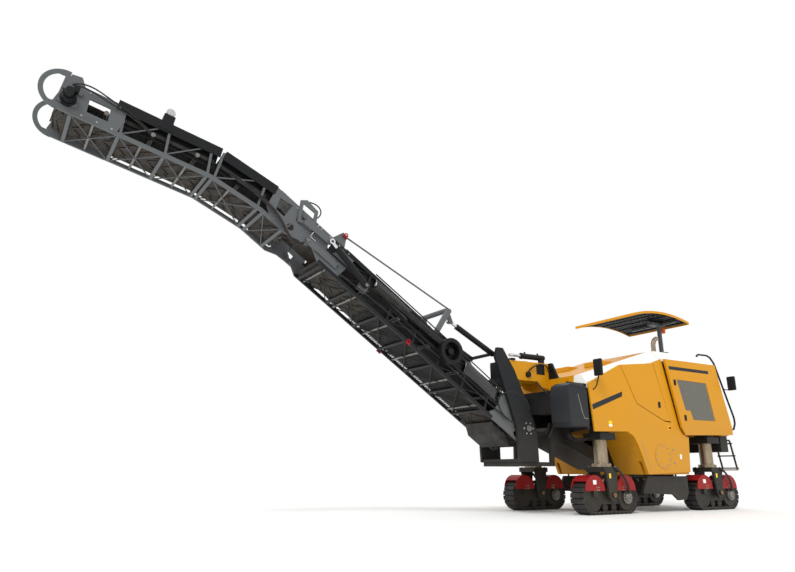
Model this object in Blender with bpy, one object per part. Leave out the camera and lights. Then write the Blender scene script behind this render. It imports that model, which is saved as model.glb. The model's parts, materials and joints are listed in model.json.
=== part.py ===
"""Cold planer milling machine on four steered tracks, with a folding front loading conveyor.

Metres, +Z up, +X forward along the conveyor, +Y to the machine's left. The pieces are built in the
machine frame, whose X is 0 at the front legs, and machine_origin then moves them all, so that the
middle of the whole machine's footprint is at the world origin.
"""

import math

import bmesh
import bpy
from mathutils import Matrix, Vector

# ---------------------------------------------------------------- driving dimensions
GAP = 0.0004  # between solids that rest on each other
CLEAR = 0.008  # round a piece that moves
PIN_CLEAR = 0.001  # round a pin

WHEELBASE = 3.03
GAUGE = 1.666

BODY_HALF_WIDTH = 1.08
PANEL_THICK = 0.04
HOOD_PROUD = 0.07  # how far the rear hoods stand out of the side panels

# legs
COLUMN_RADIUS = 0.1185
COLUMN_BASE_Z = 0.79
COLUMN_LENGTH = 1.0
LIFT_TRAVEL = 0.33
SLEEVE_BASE_Z = 1.25
SLEEVE_WALL = 0.045
SLEEVE_LENGTH = COLUMN_BASE_Z + COLUMN_LENGTH + LIFT_TRAVEL + 0.05 - SLEEVE_BASE_Z
FOOT_RADIUS = 0.165
FOOT_THICK = 0.05

# track units
TRACK_LENGTH = 1.38
TRACK_HEIGHT = 0.546
TRACK_WIDTH = 0.28
TRACK_THICK = 0.055
TRACK_FLAT = 0.80  # length of the ground run
FORK_CHEEK_IN = 0.162
FORK_CHEEK_THICK = 0.04
FORK_TOP_THICK = 0.085
PIVOT_Z = 0.32
PIVOT_RADIUS = 0.045
PIVOT_REACH = 0.224
GUARD_HEIGHT = 0.655

# milling drum and its housing
DRUM_X = -1.37
DRUM_Z = 0.98
DRUM_RADIUS = 0.46
DRUM_LENGTH = 1.30
DRUM_CLEAR = 0.045
HOUSING_FLOOR_Z = 0.66
HOUSING_TOP_Z = 1.54
HOUSING_FRONT_TOP_X = -0.46
HOUSING_FRONT_LOW_X = -0.92
HOUSING_REAR_X = -2.12
SIDE_PLATE_TRAVEL = 0.25
SIDE_PLATE_THICK = 0.05
SCRAPER_THICK = 0.05
SCRAPER_HINGE_Z = 1.19
SCRAPER_PIN_RADIUS = 0.015
SIDE_PLATE_Y = 0.955
SIDE_PLATE_TOP_Z = 0.63
SIDE_GUIDE_TOP_Z = 1.02
SIDE_GUIDE_RADIUS = 0.018
PRIMARY_HALF_WIDTH = 0.385

# body
FRAME_RAIL_Z = HOUSING_TOP_Z + GAP
FRAME_RAIL_HEIGHT = 0.40
BODY_FLOOR_Z = 1.38
HOOD_FRONT_X = 0.44
HOOD_BREAK_X = -1.62
NOSE_TOP_Z = 2.21
RIDGE_Z = 2.78
CROWN_RISE = 0.2
REAR_X = -3.56
PLATFORM_Z = 1.98
PLATFORM_HALF_WIDTH = 0.66
PLATFORM_FRONT_X = -1.66
DOOR_THICK = 0.04
HOOD_SHELL = 0.05

# canopy
CANOPY_FRONT_X = -1.42
CANOPY_REAR_X = -3.17
CANOPY_WIDTH = 1.5
CANOPY_Z = 3.76
CANOPY_THICK = 0.04
CANOPY_RISE = 0.12
CANOPY_TRAVEL = 0.42
POST_X = -2.9
POST_Y = 0.22
POST_FLANGE_Z = 3.16
POST_RADIUS = 0.045
POST_SLEEVE_RADIUS = 0.06

# conveyor joints
SLEW_X = 1.36
LUFF_Z = 1.43
LUFF_PIN_RADIUS = 0.035
SLEW_HEAD_Z = 2.31
SLEW_HEAD_HEIGHT = 0.34
SLEW_FOOT_Z = 0.80
SLEW_FOOT_THICK = 0.07
BRACKET_ARM_THICK = 0.05
BRACKET_SIDE_CLEAR = 0.02

# discharge conveyor: u runs along it from the luff pin, w square to it and up
CONVEYOR_HALF_WIDTH = 0.4375
SIDE_THICK = 0.04
CONVEYOR_SLOPE = math.radians(34.0)
LOWER_W = -0.30
TOP_W = 0.215
TAIL_U = -0.26
FOLD_U = 5.0
FOLD_W = -0.143
FOLD_PIN_RADIUS = 0.03
FOLD_CUTBACK = 0.31
BEND_U = 5.83  # where the front section first bends
MID_LENGTH = 0.86
MID_SLOPE = math.radians(24.0)
TIP_LENGTH = 2.17
TIP_SLOPE = math.radians(13.3)
TIP_DEPTH = 0.58
BELT_HALF_WIDTH = 0.32
BELT_THICK = 0.014
BELT_TOP_W = 0.014
BELT_LOW_W = -0.2495
PULLEY_U = -0.12
HOOP_FRONT_X = 9.53
HOOP_RADIUS = 0.012
COVER_THICK = 0.015
COVER_RISE = 0.11

# stay beam and cylinders in the side view
BEAM_X = 2.91
BEAM_Z = 3.36
STAY_END_X = 4.90
STAY_END_Z = 4.31
STAY_RADIUS = 0.014
LUFF_FOOT_X = 1.90
LUFF_FOOT_Z = 2.71
LUFF_EYE_X = 2.83
LUFF_EYE_Z = 3.19
LUFF_CYLINDER_Y = 0.30
FOLD_FOOT_U = 3.866
FOLD_FOOT_W = -0.099
FOLD_EYE_U = 4.704
FOLD_EYE_W = 0.072
BARREL_RADIUS = 0.05
ROD_RADIUS = 0.026
EYE_RADIUS = 0.048
EYE_HALF = 0.022
SLEW_LEVER = 0.2
SLEW_CYLINDER_Z = 2.76

TRACK_STEPS = 12  # flats round each end of a track
BELT_STEPS = 10  # flats round each end of a belt
ROUND = 24  # sides of a large cylinder
SMALL = 14  # sides of a small one

# ---------------------------------------------------------------- scene
for old in list(bpy.data.objects):
    bpy.data.objects.remove(old)

parts = bpy.data.collections.new("cold_planer")
cutters = bpy.data.collections.new("cutters")
bpy.context.scene.collection.children.link(parts)
bpy.context.scene.collection.children.link(cutters)


def material(name, colour, roughness, metallic=0.0):
    made = bpy.data.materials.new(name)
    made.use_nodes = True
    shader = made.node_tree.nodes["Principled BSDF"]
    shader.inputs["Base Color"].default_value = (*colour, 1.0)
    shader.inputs["Roughness"].default_value = roughness
    shader.inputs["Metallic"].default_value = metallic
    return made


YELLOW = material("yellow_paint", (0.78, 0.46, 0.02), 0.35)
WHITE = material("white_paint", (0.80, 0.80, 0.78), 0.35)
SLATE = material("slate_paint", (0.07, 0.085, 0.10), 0.4)
BLACK = material("black_paint", (0.018, 0.018, 0.02), 0.45)
RED = material("red_paint", (0.45, 0.02, 0.02), 0.4)
GREY = material("grey_paint", (0.20, 0.20, 0.20), 0.45)
STEEL = material("column_steel", (0.33, 0.30, 0.27), 0.35, 0.9)
CHROME = material("chrome_rod", (0.75, 0.75, 0.76), 0.1, 1.0)
RUBBER = material("black_rubber", (0.02, 0.02, 0.02), 0.8)
BELT = material("belt_rubber", (0.05, 0.04, 0.035), 0.85)
IRON = material("drum_iron", (0.12, 0.11, 0.10), 0.55, 0.8)
SEAT = material("seat_fabric", (0.03, 0.03, 0.035), 0.8)


# ---------------------------------------------------------------- shapes
def link(name, mesh):
    obj = bpy.data.objects.new(name, mesh)
    parts.objects.link(obj)
    return obj


def box(name, x, y, z):
    """A box from its low and high limits along each axis."""
    mesh = bpy.data.meshes.new(name)
    shape = bmesh.new()
    bmesh.ops.create_cube(shape, size=1.0)
    size = Vector((x[1] - x[0], y[1] - y[0], z[1] - z[0]))
    bmesh.ops.scale(shape, vec=size, verts=shape.verts)
    shape.to_mesh(mesh)
    shape.free()
    obj = link(name, mesh)
    obj.location = ((x[0] + x[1]) / 2, (y[0] + y[1]) / 2, (z[0] + z[1]) / 2)
    return obj


def bar(name, start, end, radius, sides=ROUND):
    """A round bar between two points."""
    start, end = Vector(start), Vector(end)
    mesh = bpy.data.meshes.new(name)
    shape = bmesh.new()
    bmesh.ops.create_cone(
        shape,
        cap_ends=True,
        segments=sides,
        radius1=radius,
        radius2=radius,
        depth=(end - start).length,
    )
    shape.to_mesh(mesh)
    shape.free()
    mesh.shade_smooth()
    mesh.set_sharp_from_angle(angle=math.radians(35))
    obj = link(name, mesh)
    obj.location = (start + end) / 2
    obj.rotation_mode = "QUATERNION"
    obj.rotation_quaternion = Vector((0, 0, 1)).rotation_difference(end - start)
    return obj


def as_mesh(curve_object):
    """The curve object made a closed mesh, in the same place."""
    graph = bpy.context.evaluated_depsgraph_get()
    mesh = bpy.data.meshes.new_from_object(curve_object.evaluated_get(graph))
    shape = bmesh.new()
    shape.from_mesh(mesh)
    bmesh.ops.remove_doubles(shape, verts=shape.verts, dist=1e-5)
    bmesh.ops.recalc_face_normals(shape, faces=shape.faces)
    shape.to_mesh(mesh)
    shape.free()
    name = curve_object.name
    matrix = curve_object.matrix_basis.copy()
    bpy.data.objects.remove(curve_object)
    obj = link(name, mesh)
    obj.matrix_basis = matrix
    return obj


FACING = {
    "X": Matrix(((0, 0, 1), (1, 0, 0), (0, 1, 0))),  # outline is (y, z)
    "Y": Matrix(((1, 0, 0), (0, 0, -1), (0, 1, 0))),  # outline is (x, z)
    "Z": Matrix(((1, 0, 0), (0, 1, 0), (0, 0, 1))),  # outline is (x, y)
}


def slab(name, outline, low, high, facing="Y"):
    """A flat outline given thickness from low to high along the axis that it faces."""
    data = bpy.data.curves.new(name, "CURVE")
    data.dimensions = "2D"
    data.fill_mode = "BOTH"
    data.extrude = (high - low) / 2
    spline = data.splines.new("POLY")
    spline.points.add(len(outline) - 1)
    for point, (a, b) in zip(spline.points, outline):
        point.co = (a, b, 0, 1)
    spline.use_cyclic_u = True
    obj = link(name, data)
    turn = FACING[facing].to_4x4()
    along = Vector((facing == "X", facing == "Y", facing == "Z")) * (low + high) / 2
    obj.matrix_basis = Matrix.Translation(along) @ turn
    bpy.context.view_layer.update()
    return as_mesh(obj)


def pipe(name, points, radius, resolution=2):
    """A tube of round section through the points."""
    data = bpy.data.curves.new(name, "CURVE")
    data.dimensions = "3D"
    data.bevel_depth = radius
    data.bevel_resolution = resolution
    data.use_fill_caps = True
    spline = data.splines.new("POLY")
    spline.points.add(len(points) - 1)
    for point, place in zip(spline.points, points):
        point.co = (*place, 1)
    obj = link(name, data)
    bpy.context.view_layer.update()
    return as_mesh(obj)


def arc(centre, radius, start, end, steps):
    """Points round a circle in a flat outline; the angles are in degrees."""
    found = []
    for step in range(steps + 1):
        angle = math.radians(start + (end - start) * step / steps)
        x = centre[0] + radius * math.cos(angle)
        y = centre[1] + radius * math.sin(angle)
        found.append((x, y))
    return found


def wheel_inside(radius, steps):
    """The radius of a wheel that fits inside a half-round of flat steps."""
    return radius * math.cos(math.pi / (2 * steps)) - GAP


def boolean(target, operation, others):
    for other in others:
        for collection in list(other.users_collection):
            collection.objects.unlink(other)
        cutters.objects.link(other)
        other.hide_render = True
        other.display_type = "WIRE"
        modifier = target.modifiers.new(operation.lower(), "BOOLEAN")
        modifier.operation = operation
        modifier.solver = "EXACT"
        modifier.object = other
    return target


def join(target, *others):
    return boolean(target, "UNION", others)


def cut(target, *others):
    return boolean(target, "DIFFERENCE", others)


def paint(obj, colour):
    obj.data.materials.clear()
    obj.data.materials.append(colour)
    return obj


def pivot(name, place, parent=None):
    """An empty on a joint's axis. It carries the pieces that the joint moves."""
    empty = bpy.data.objects.new(name, None)
    empty.empty_display_size = 0.2
    parts.objects.link(empty)
    empty.location = place
    if parent:
        bpy.context.view_layer.update()
        empty.parent = parent
        empty.matrix_parent_inverse = parent.matrix_world.inverted()
    return empty


def with_helpers(piece):
    """The piece, what cuts or joins it, and what cuts or joins those."""
    found = [piece]
    for modifier in piece.modifiers:
        found += with_helpers(modifier.object)
    return found


def carry(carrier, piece):
    """Parents the piece and its helpers without moving them."""
    bpy.context.view_layer.update()
    for obj in with_helpers(piece):
        obj.parent = carrier
        obj.matrix_parent_inverse = carrier.matrix_world.inverted()


def mirrored(points):
    return [(x, -y, z) for x, y, z in points]


origin = pivot("machine_origin", (0, 0, 0))


# ---------------------------------------------------------------- legs and track units
def track_outline(inset):
    """The loop's side outline, inset from its outer surface."""
    radius = TRACK_HEIGHT / 2 - inset
    middle = TRACK_LENGTH / 2 - TRACK_HEIGHT / 2
    front = arc((middle, TRACK_HEIGHT / 2), radius, -90, 90, TRACK_STEPS)
    rear = arc((-middle, TRACK_HEIGHT / 2), radius, 90, 270, TRACK_STEPS)
    return front + rear


def moved(outline, x):
    return [(a + x, b) for a, b in outline]


def track_unit(corner, x, y):
    """One leg: a column that slides in its sleeve, and a fork with its track, which steers."""
    lift = pivot(f"lift_{corner}", (x, y, COLUMN_BASE_Z), origin)
    steer = pivot(f"steer_{corner}", (x, y, COLUMN_BASE_Z), lift)
    column_top = COLUMN_BASE_Z + COLUMN_LENGTH
    column = bar(f"leg_column_{corner}", (x, y, COLUMN_BASE_Z + GAP), (x, y, column_top), COLUMN_RADIUS)
    foot_top = COLUMN_BASE_Z + FOOT_THICK
    foot = bar("foot", (x, y, COLUMN_BASE_Z + GAP), (x, y, foot_top), FOOT_RADIUS)
    join(column, foot)
    carry(lift, paint(column, STEEL))

    fork_out = FORK_CHEEK_IN + FORK_CHEEK_THICK
    fork_floor = COLUMN_BASE_Z - FORK_TOP_THICK
    fork = box(f"fork_{corner}", (x - 0.18, x + 0.18), (y - fork_out, y + fork_out), (fork_floor, COLUMN_BASE_Z))
    cheek_outline = [(x - 0.15, COLUMN_BASE_Z - 0.01), *arc((x, PIVOT_Z), 0.1, 200, 340, 6), (x + 0.15, COLUMN_BASE_Z - 0.01)]
    for side in (-1, 1):
        inner = y + side * FORK_CHEEK_IN
        outer = y + side * fork_out
        reach = y + side * PIVOT_REACH
        frame_side = y + side * (TRACK_WIDTH / 2 - 0.05)
        cheek = slab("cheek", cheek_outline, min(inner, outer), max(inner, outer))
        stub = bar("stub", (x, frame_side, PIVOT_Z), (x, reach, PIVOT_Z), PIVOT_RADIUS, SMALL)
        join(fork, cheek, stub)

    half_width = TRACK_WIDTH / 2
    loop = slab(f"track_{corner}", moved(track_outline(0), x), y - half_width, y + half_width)
    hollow = slab("track_hollow", moved(track_outline(TRACK_THICK), x), y - half_width - 0.02, y + half_width + 0.02)
    cut(loop, hollow)
    carry(steer, paint(loop, RUBBER))

    frame_half = half_width - 0.03
    wheel_radius = wheel_inside(TRACK_HEIGHT / 2 - TRACK_THICK, TRACK_STEPS)
    wheel_x = TRACK_LENGTH / 2 - TRACK_HEIGHT / 2
    frame = box("track_frame", (x - wheel_x, x + wheel_x), (y - frame_half, y + frame_half), (0.17, 0.42))
    for place in (-wheel_x, wheel_x):
        start = (x + place, y - frame_half - 0.01, TRACK_HEIGHT / 2)
        end = (x + place, y + frame_half + 0.01, TRACK_HEIGHT / 2)
        join(frame, bar("end_wheel", start, end, wheel_radius, ROUND))
    roller_radius = 0.065
    roller_z = TRACK_THICK + GAP + roller_radius
    for number in range(4):
        place = x - 0.33 + number * 0.22
        roller = bar("roller", (place, y - 0.09, roller_z), (place, y + 0.09, roller_z), roller_radius, SMALL)
        join(frame, roller)
    for place in (-0.39, 0.39):
        for side in (-1, 1):
            centre = (x + place, TRACK_HEIGHT - 0.13)
            guard_outline = [*arc(centre, 0.235, 0, 180, 8), (centre[0] - 0.235, centre[1] - 0.02), (centre[0] + 0.235, centre[1] - 0.02)]
            low = y + side * (half_width + CLEAR)
            high = y + side * (half_width + CLEAR + 0.012)
            guard = slab("guard", guard_outline, min(low, high), max(low, high))
            inner = y + side * (frame_half - 0.02)
            lug = box("guard_lug", (x + place - 0.05, x + place + 0.05), sorted((inner, high)), (0.30, 0.40))
            join(frame, guard, lug)
    join(fork, frame)
    carry(steer, paint(fork, BLACK))


CORNERS = {
    "front_left": (0.0, GAUGE / 2),
    "front_right": (0.0, -GAUGE / 2),
    "rear_left": (-WHEELBASE, GAUGE / 2),
    "rear_right": (-WHEELBASE, -GAUGE / 2),
}
for corner_name, (leg_x, leg_y) in CORNERS.items():
    track_unit(corner_name, leg_x, leg_y)


# ---------------------------------------------------------------- main frame
SLEEVE_BORE = COLUMN_RADIUS + PIN_CLEAR
SLEEVE_RADIUS = SLEEVE_BORE + SLEEVE_WALL
SLEEVE_TOP_Z = SLEEVE_BASE_Z + SLEEVE_LENGTH
RAIL_IN = GAUGE / 2 - 0.16
RAIL_OUT = BODY_HALF_WIDTH - PANEL_THICK - GAP
RAIL_TOP_Z = FRAME_RAIL_Z + FRAME_RAIL_HEIGHT


def main_frame():
    """Two deep rails and two cross-members that hold the four leg sleeves."""
    x = (-WHEELBASE - 0.25, HOOD_FRONT_X - 0.15)
    frame = box("main_frame", x, (RAIL_IN, RAIL_OUT), (FRAME_RAIL_Z, RAIL_TOP_Z))
    join(frame, box("right_rail", x, (-RAIL_OUT, -RAIL_IN), (FRAME_RAIL_Z, RAIL_TOP_Z)))
    for place in (-WHEELBASE, 0.0):
        member_x = (place - 0.12, place + 0.12)
        join(frame, box("cross_member", member_x, (-RAIL_OUT + 0.02, RAIL_OUT - 0.02), (RAIL_TOP_Z - 0.16, RAIL_TOP_Z - 0.01)))
    for leg_x, leg_y in CORNERS.values():
        sleeve = bar("sleeve", (leg_x, leg_y, SLEEVE_BASE_Z), (leg_x, leg_y, SLEEVE_TOP_Z), SLEEVE_RADIUS)
        clamp_y = (leg_y - 0.19, leg_y + 0.19)
        clamp = box("clamp", (leg_x - 0.19, leg_x + 0.19), clamp_y, (SLEEVE_BASE_Z, SLEEVE_BASE_Z + 0.12))
        join(frame, sleeve, clamp)
    for leg_x, leg_y in CORNERS.values():
        ends = ((leg_x, leg_y, SLEEVE_BASE_Z - 0.1), (leg_x, leg_y, SLEEVE_TOP_Z + 0.1))
        cut(frame, bar("sleeve_bore", *ends, SLEEVE_BORE))
    carry(origin, paint(frame, BLACK))


main_frame()


# ---------------------------------------------------------------- drum, housing, scraper, side plates
ARCH = [
    (HOUSING_FRONT_TOP_X, 1.40),
    (HOUSING_FRONT_TOP_X - 0.16, 1.32),
    (HOUSING_FRONT_TOP_X - 0.26, 1.16),
    (HOUSING_FRONT_TOP_X - 0.34, 0.98),
    (HOUSING_FRONT_LOW_X, HOUSING_FLOOR_Z),
]
HOUSING_HALF_WIDTH = BODY_HALF_WIDTH - PANEL_THICK - GAP
DRUM_BAY_HALF = DRUM_LENGTH / 2 + 0.03
SCRAPER_HINGE_X = HOUSING_REAR_X - 0.03


def drum_housing():
    """A deep box round the drum: open below, with a rear mouth for the scraper and a front one for the belt."""
    rear = [(HOUSING_REAR_X, HOUSING_FLOOR_Z), (HOUSING_REAR_X, HOUSING_TOP_Z), (HOUSING_FRONT_TOP_X, HOUSING_TOP_Z)]
    housing = slab("drum_housing", ARCH + rear, -HOUSING_HALF_WIDTH, HOUSING_HALF_WIDTH)
    for side in (-1, 1):
        lug_y = sorted((side * 0.51, side * 0.55))
        lug = box("scraper_lug", (HOUSING_REAR_X - 0.06, HOUSING_REAR_X + 0.02), lug_y, (SCRAPER_HINGE_Z - 0.025, SCRAPER_HINGE_Z + 0.06))
        ends = ((SCRAPER_HINGE_X, side * 0.44, SCRAPER_HINGE_Z), (SCRAPER_HINGE_X, side * 0.53, SCRAPER_HINGE_Z))
        join(housing, lug, bar("scraper_pin", *ends, SCRAPER_PIN_RADIUS, SMALL))
    bay_radius = DRUM_RADIUS + DRUM_CLEAR
    bay_y = (-DRUM_BAY_HALF, DRUM_BAY_HALF)
    bay = bar("drum_bay", (DRUM_X, bay_y[0], DRUM_Z), (DRUM_X, bay_y[1], DRUM_Z), bay_radius, 32)
    below_x = (DRUM_X - bay_radius, DRUM_X + bay_radius - 0.12)
    below = box("bay_below", below_x, bay_y, (HOUSING_FLOOR_Z - 0.1, DRUM_Z))
    rear_mouth = box("rear_mouth", (HOUSING_REAR_X - 0.1, DRUM_X), bay_y, (HOUSING_FLOOR_Z - 0.1, SCRAPER_HINGE_Z - 0.04))
    mouth_y = PRIMARY_HALF_WIDTH + CLEAR
    front_mouth = box("front_mouth", (DRUM_X, HOUSING_FRONT_TOP_X + 0.1), (-mouth_y, mouth_y), (0.74, 1.30))
    cut(housing, bay, below, rear_mouth, front_mouth)
    for side in (-1, 1):
        slot_y = sorted((side * (SIDE_PLATE_Y - CLEAR), side * (SIDE_PLATE_Y + SIDE_PLATE_THICK + CLEAR)))
        slot_top = SIDE_PLATE_TOP_Z + SIDE_PLATE_TRAVEL + CLEAR
        cut(housing, box("side_slot", (HOUSING_REAR_X - 0.1, HOUSING_FRONT_TOP_X), slot_y, (HOUSING_FLOOR_Z - 0.1, slot_top)))
        for x in SIDE_GUIDES:
            y = side * (SIDE_PLATE_Y + SIDE_PLATE_THICK / 2)
            top = SIDE_GUIDE_TOP_Z + SIDE_PLATE_TRAVEL + CLEAR
            cut(housing, bar("guide_bore", (x, y, HOUSING_FLOOR_Z), (x, y, top), SIDE_GUIDE_RADIUS + PIN_CLEAR, SMALL))
    carry(origin, paint(housing, YELLOW))


SIDE_GUIDES = (-1.80, -1.12)


def milling_drum():
    """The drum as its cutting envelope, with a shaft that ends in the housing's bearings."""
    spin = pivot("drum_spin", (DRUM_X, 0, DRUM_Z), origin)
    half = DRUM_LENGTH / 2
    drum = bar("milling_drum", (DRUM_X, -half, DRUM_Z), (DRUM_X, half, DRUM_Z), DRUM_RADIUS, 32)
    shaft_half = DRUM_BAY_HALF - GAP
    join(drum, bar("drum_shaft", (DRUM_X, -shaft_half, DRUM_Z), (DRUM_X, shaft_half, DRUM_Z), 0.16, ROUND))
    carry(spin, paint(drum, IRON))


def scraper():
    """The blade that closes the drum bay behind. It opens rearwards about a hinge at its top."""
    hinge = pivot("scraper_hinge", (SCRAPER_HINGE_X, 0, SCRAPER_HINGE_Z), origin)
    half = DRUM_BAY_HALF - CLEAR
    x = (HOUSING_REAR_X - SCRAPER_THICK - 0.02, HOUSING_REAR_X - 0.02)
    top = SCRAPER_HINGE_Z - 0.04
    blade = box("scraper_blade", x, (-half, half), (0.34, top))
    join(blade, box("scraper_foot", (x[0] - 0.06, x[1]), (-0.62, 0.62), (0.32, 0.38)))
    for side in (-1, 1):
        ear = box("scraper_ear", x, sorted((side * 0.43, side * 0.50)), (top - 0.06, SCRAPER_HINGE_Z + 0.025))
        join(blade, ear)
    for side in (-1, 1):
        ends = ((SCRAPER_HINGE_X, side * 0.42, SCRAPER_HINGE_Z), (SCRAPER_HINGE_X, side * 0.52, SCRAPER_HINGE_Z))
        cut(blade, bar("ear_bore", *ends, SCRAPER_PIN_RADIUS + PIN_CLEAR, SMALL))
    carry(hinge, paint(blade, BLACK))


def side_plate(side_name, side):
    """A skid plate in a slot of the housing, which slides up as it rides over the ground."""
    centre = side * (SIDE_PLATE_Y + SIDE_PLATE_THICK / 2)
    slide = pivot(f"side_plate_lift_{side_name}", (DRUM_X, centre, SIDE_PLATE_TOP_Z), origin)
    outline = [(-0.80, 0.34), (-1.66, 0.30), (-1.80, 0.20), (-2.02, 0.21), (-2.10, 0.34), (-2.10, SIDE_PLATE_TOP_Z), (-0.98, SIDE_PLATE_TOP_Z)]
    low, high = sorted((side * SIDE_PLATE_Y, side * (SIDE_PLATE_Y + SIDE_PLATE_THICK)))
    plate = slab(f"side_plate_{side_name}", outline, low, high)
    for x in SIDE_GUIDES:
        join(plate, bar("guide", (x, centre, SIDE_PLATE_TOP_Z - 0.08), (x, centre, SIDE_GUIDE_TOP_Z), SIDE_GUIDE_RADIUS, SMALL))
    carry(slide, paint(plate, BLACK))


drum_housing()
milling_drum()
scraper()
side_plate("left", 1)
side_plate("right", -1)

# ---------------------------------------------------------------- side panels and doors
DOOR_LINE = [(-0.43, 2.60), (-0.79, 1.91), (-1.52, 1.62), (-1.715, 1.60)]
DOOR_REAR_TOP = (-1.37, 2.71)
PILLAR_TOP = (HOOD_BREAK_X, 2.80)
HOOD_FRONT_EDGE = [(-1.64, 2.795), (-1.93, 1.53), (-2.06, 1.375)]
HOOD_REAR_EDGE = [(-3.58, 1.42), (-3.52, 1.56), (-3.34, 2.25), (-3.21, 2.795)]
GRILLE = [(-1.93, 2.42), (-2.10, 1.84), (-2.24, 1.84), (-2.30, 1.67), (-3.00, 1.67), (-2.85, 2.40)]
DOOR_EDGE_GAP = 0.012


def grown(outline, x, z):
    return [(a + x, b + z) for a, b in outline]


def mirror(side):
    """A mirror on a bent arm at the panel's upper front corner. It is fixed in use."""
    y = BODY_HALF_WIDTH
    arm = pipe("mirror_arm", [(0.33, side * (y - 0.02), 2.1), (0.34, side * (y + 0.10), 2.16), (0.36, side * (y + 0.17), 2.5)], 0.012)
    return join(arm, box("mirror_head", (0.325, 0.395), sorted((side * (y + 0.08), side * (y + 0.26))), (2.32, 2.62)))


def side_panel(side_name, side):
    """The painted side from the nose to the pillar in front of the rear hood, down over the drum housing."""
    low, high = sorted((side * (BODY_HALF_WIDTH - PANEL_THICK), side * BODY_HALF_WIDTH))
    rear = [(HOUSING_REAR_X, HOUSING_FLOOR_Z + 0.04), (-2.19, 1.34), (-2.02, 1.40), (-1.94, 1.50), PILLAR_TOP]
    outline = [(HOOD_FRONT_X - 0.07, BODY_FLOOR_Z), *ARCH, *rear, DOOR_REAR_TOP, *reversed(DOOR_LINE), (HOOD_FRONT_X, NOSE_TOP_Z)]
    panel = slab(f"{side_name}_side_panel", outline, low, high)
    join(panel, mirror(side))
    carry(origin, paint(panel, YELLOW))

    edge = (DOOR_LINE[-1], DOOR_REAR_TOP)
    middle = ((edge[0][0] + edge[1][0]) / 2, side * (BODY_HALF_WIDTH + 0.01), (edge[0][1] + edge[1][1]) / 2)
    hinge = pivot(f"{side_name}_door_hinge", middle, origin)
    gap = DOOR_EDGE_GAP
    door_outline = [(-0.43 - gap, 2.60), (-0.79 - gap, 1.91 + gap / 2), (-1.52, 1.62 + gap), (-1.715 + gap, 1.60 + 2 * gap), (-1.37 + gap, 2.70)]
    door = slab(f"{side_name}_service_door", door_outline, low, high)
    carry(hinge, paint(door, YELLOW))


def rear_hood(side_name, side):
    """A gull-wing hood with its grille, hinged along its top edge."""
    inner = BODY_HALF_WIDTH + HOOD_PROUD - HOOD_SHELL
    outer = BODY_HALF_WIDTH + HOOD_PROUD
    low, high = sorted((side * inner, side * outer))
    hinge = pivot(f"{side_name}_hood_hinge", (-2.42, side * outer, 2.80), origin)
    hood = slab(f"{side_name}_rear_hood", [*HOOD_FRONT_EDGE, *HOOD_REAR_EDGE], low, high)
    cut(hood, slab("grille_hole", GRILLE, low - 0.02, high + 0.02))
    centre = side * (inner + 0.02)
    join(hood, slab("grille", grown(GRILLE, -0.01, 0.01), centre - 0.012, centre + 0.012))
    carry(hinge, paint(hood, YELLOW))


for side_label, side_sign in (("left", 1), ("right", -1)):
    side_panel(side_label, side_sign)
    rear_hood(side_label, side_sign)

# ---------------------------------------------------------------- hood, platform, rear body
INNER_HALF = BODY_HALF_WIDTH - PANEL_THICK - GAP
DECK_IN = 0.68
DECK_FLAT_OUT = 0.92
DECK_EDGE_Y = BODY_HALF_WIDTH + HOOD_PROUD - HOOD_SHELL - GAP
DECK_FLAT_Z = 2.98


def front_hood():
    """The pale cover over the engine. It rises from the nose to the platform's front wall."""
    low_front, low_rear = (HOOD_FRONT_X, NOSE_TOP_Z - 0.02), (HOOD_BREAK_X, 2.75)
    outline = [
        (low_front[0], low_front[1] - 0.06),
        low_front,
        (HOOD_FRONT_X - 0.04, NOSE_TOP_Z + CROWN_RISE - 0.03),
        (HOOD_BREAK_X, RIDGE_Z + CROWN_RISE),
        (low_rear[0], low_rear[1] - 0.06),
    ]
    hood = slab("front_hood", outline, -INNER_HALF, INNER_HALF)
    slope = math.atan2(low_rear[1] - low_front[1], low_front[0] - low_rear[0])
    for side in (-1, 1):
        wedge = [(side * (INNER_HALF + 0.1), 0.0), (side * (INNER_HALF - 0.02), 0.0), (side * 0.80, CROWN_RISE + 0.03), (side * 0.80, 0.5), (side * (INNER_HALF + 0.1), 0.5)]
        cutter = slab("hood_chamfer", wedge, -1.4, 1.4, "X")
        middle = ((low_front[0] + low_rear[0]) / 2, 0, (low_front[1] + low_rear[1]) / 2 + 0.05)
        cutter.matrix_basis = Matrix.Translation(middle) @ Matrix.Rotation(slope, 4, "Y") @ cutter.matrix_basis
        cut(hood, cutter)
    carry(origin, paint(hood, WHITE))


def engine():
    """One plain block for the engine, on the housing's roof."""
    block = box("engine_block", (-1.35, -0.35), (-0.5, 0.5), (HOUSING_TOP_Z + GAP, 2.25))
    carry(origin, paint(block, GREY))


def handrail(side):
    """A rail from the side deck down to the rear body."""
    points = [
        (-3.10, 0.86, DECK_FLAT_Z - 0.02),
        (-3.11, 0.86, 3.03),
        (-3.15, 0.87, 3.05),
        (-3.34, 0.92, 3.04),
        (-3.42, 0.94, 3.00),
        (-3.50, 0.96, 2.88),
        (-3.84, 1.02, 1.78),
        (-3.83, 1.03, 1.66),
        (-3.76, 1.03, 1.54),
        (REAR_X + 0.02 - GAP, 1.03, 1.54),
    ]
    return pipe("handrail", [(x, side * y, z) for x, y, z in points], 0.016)


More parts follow.
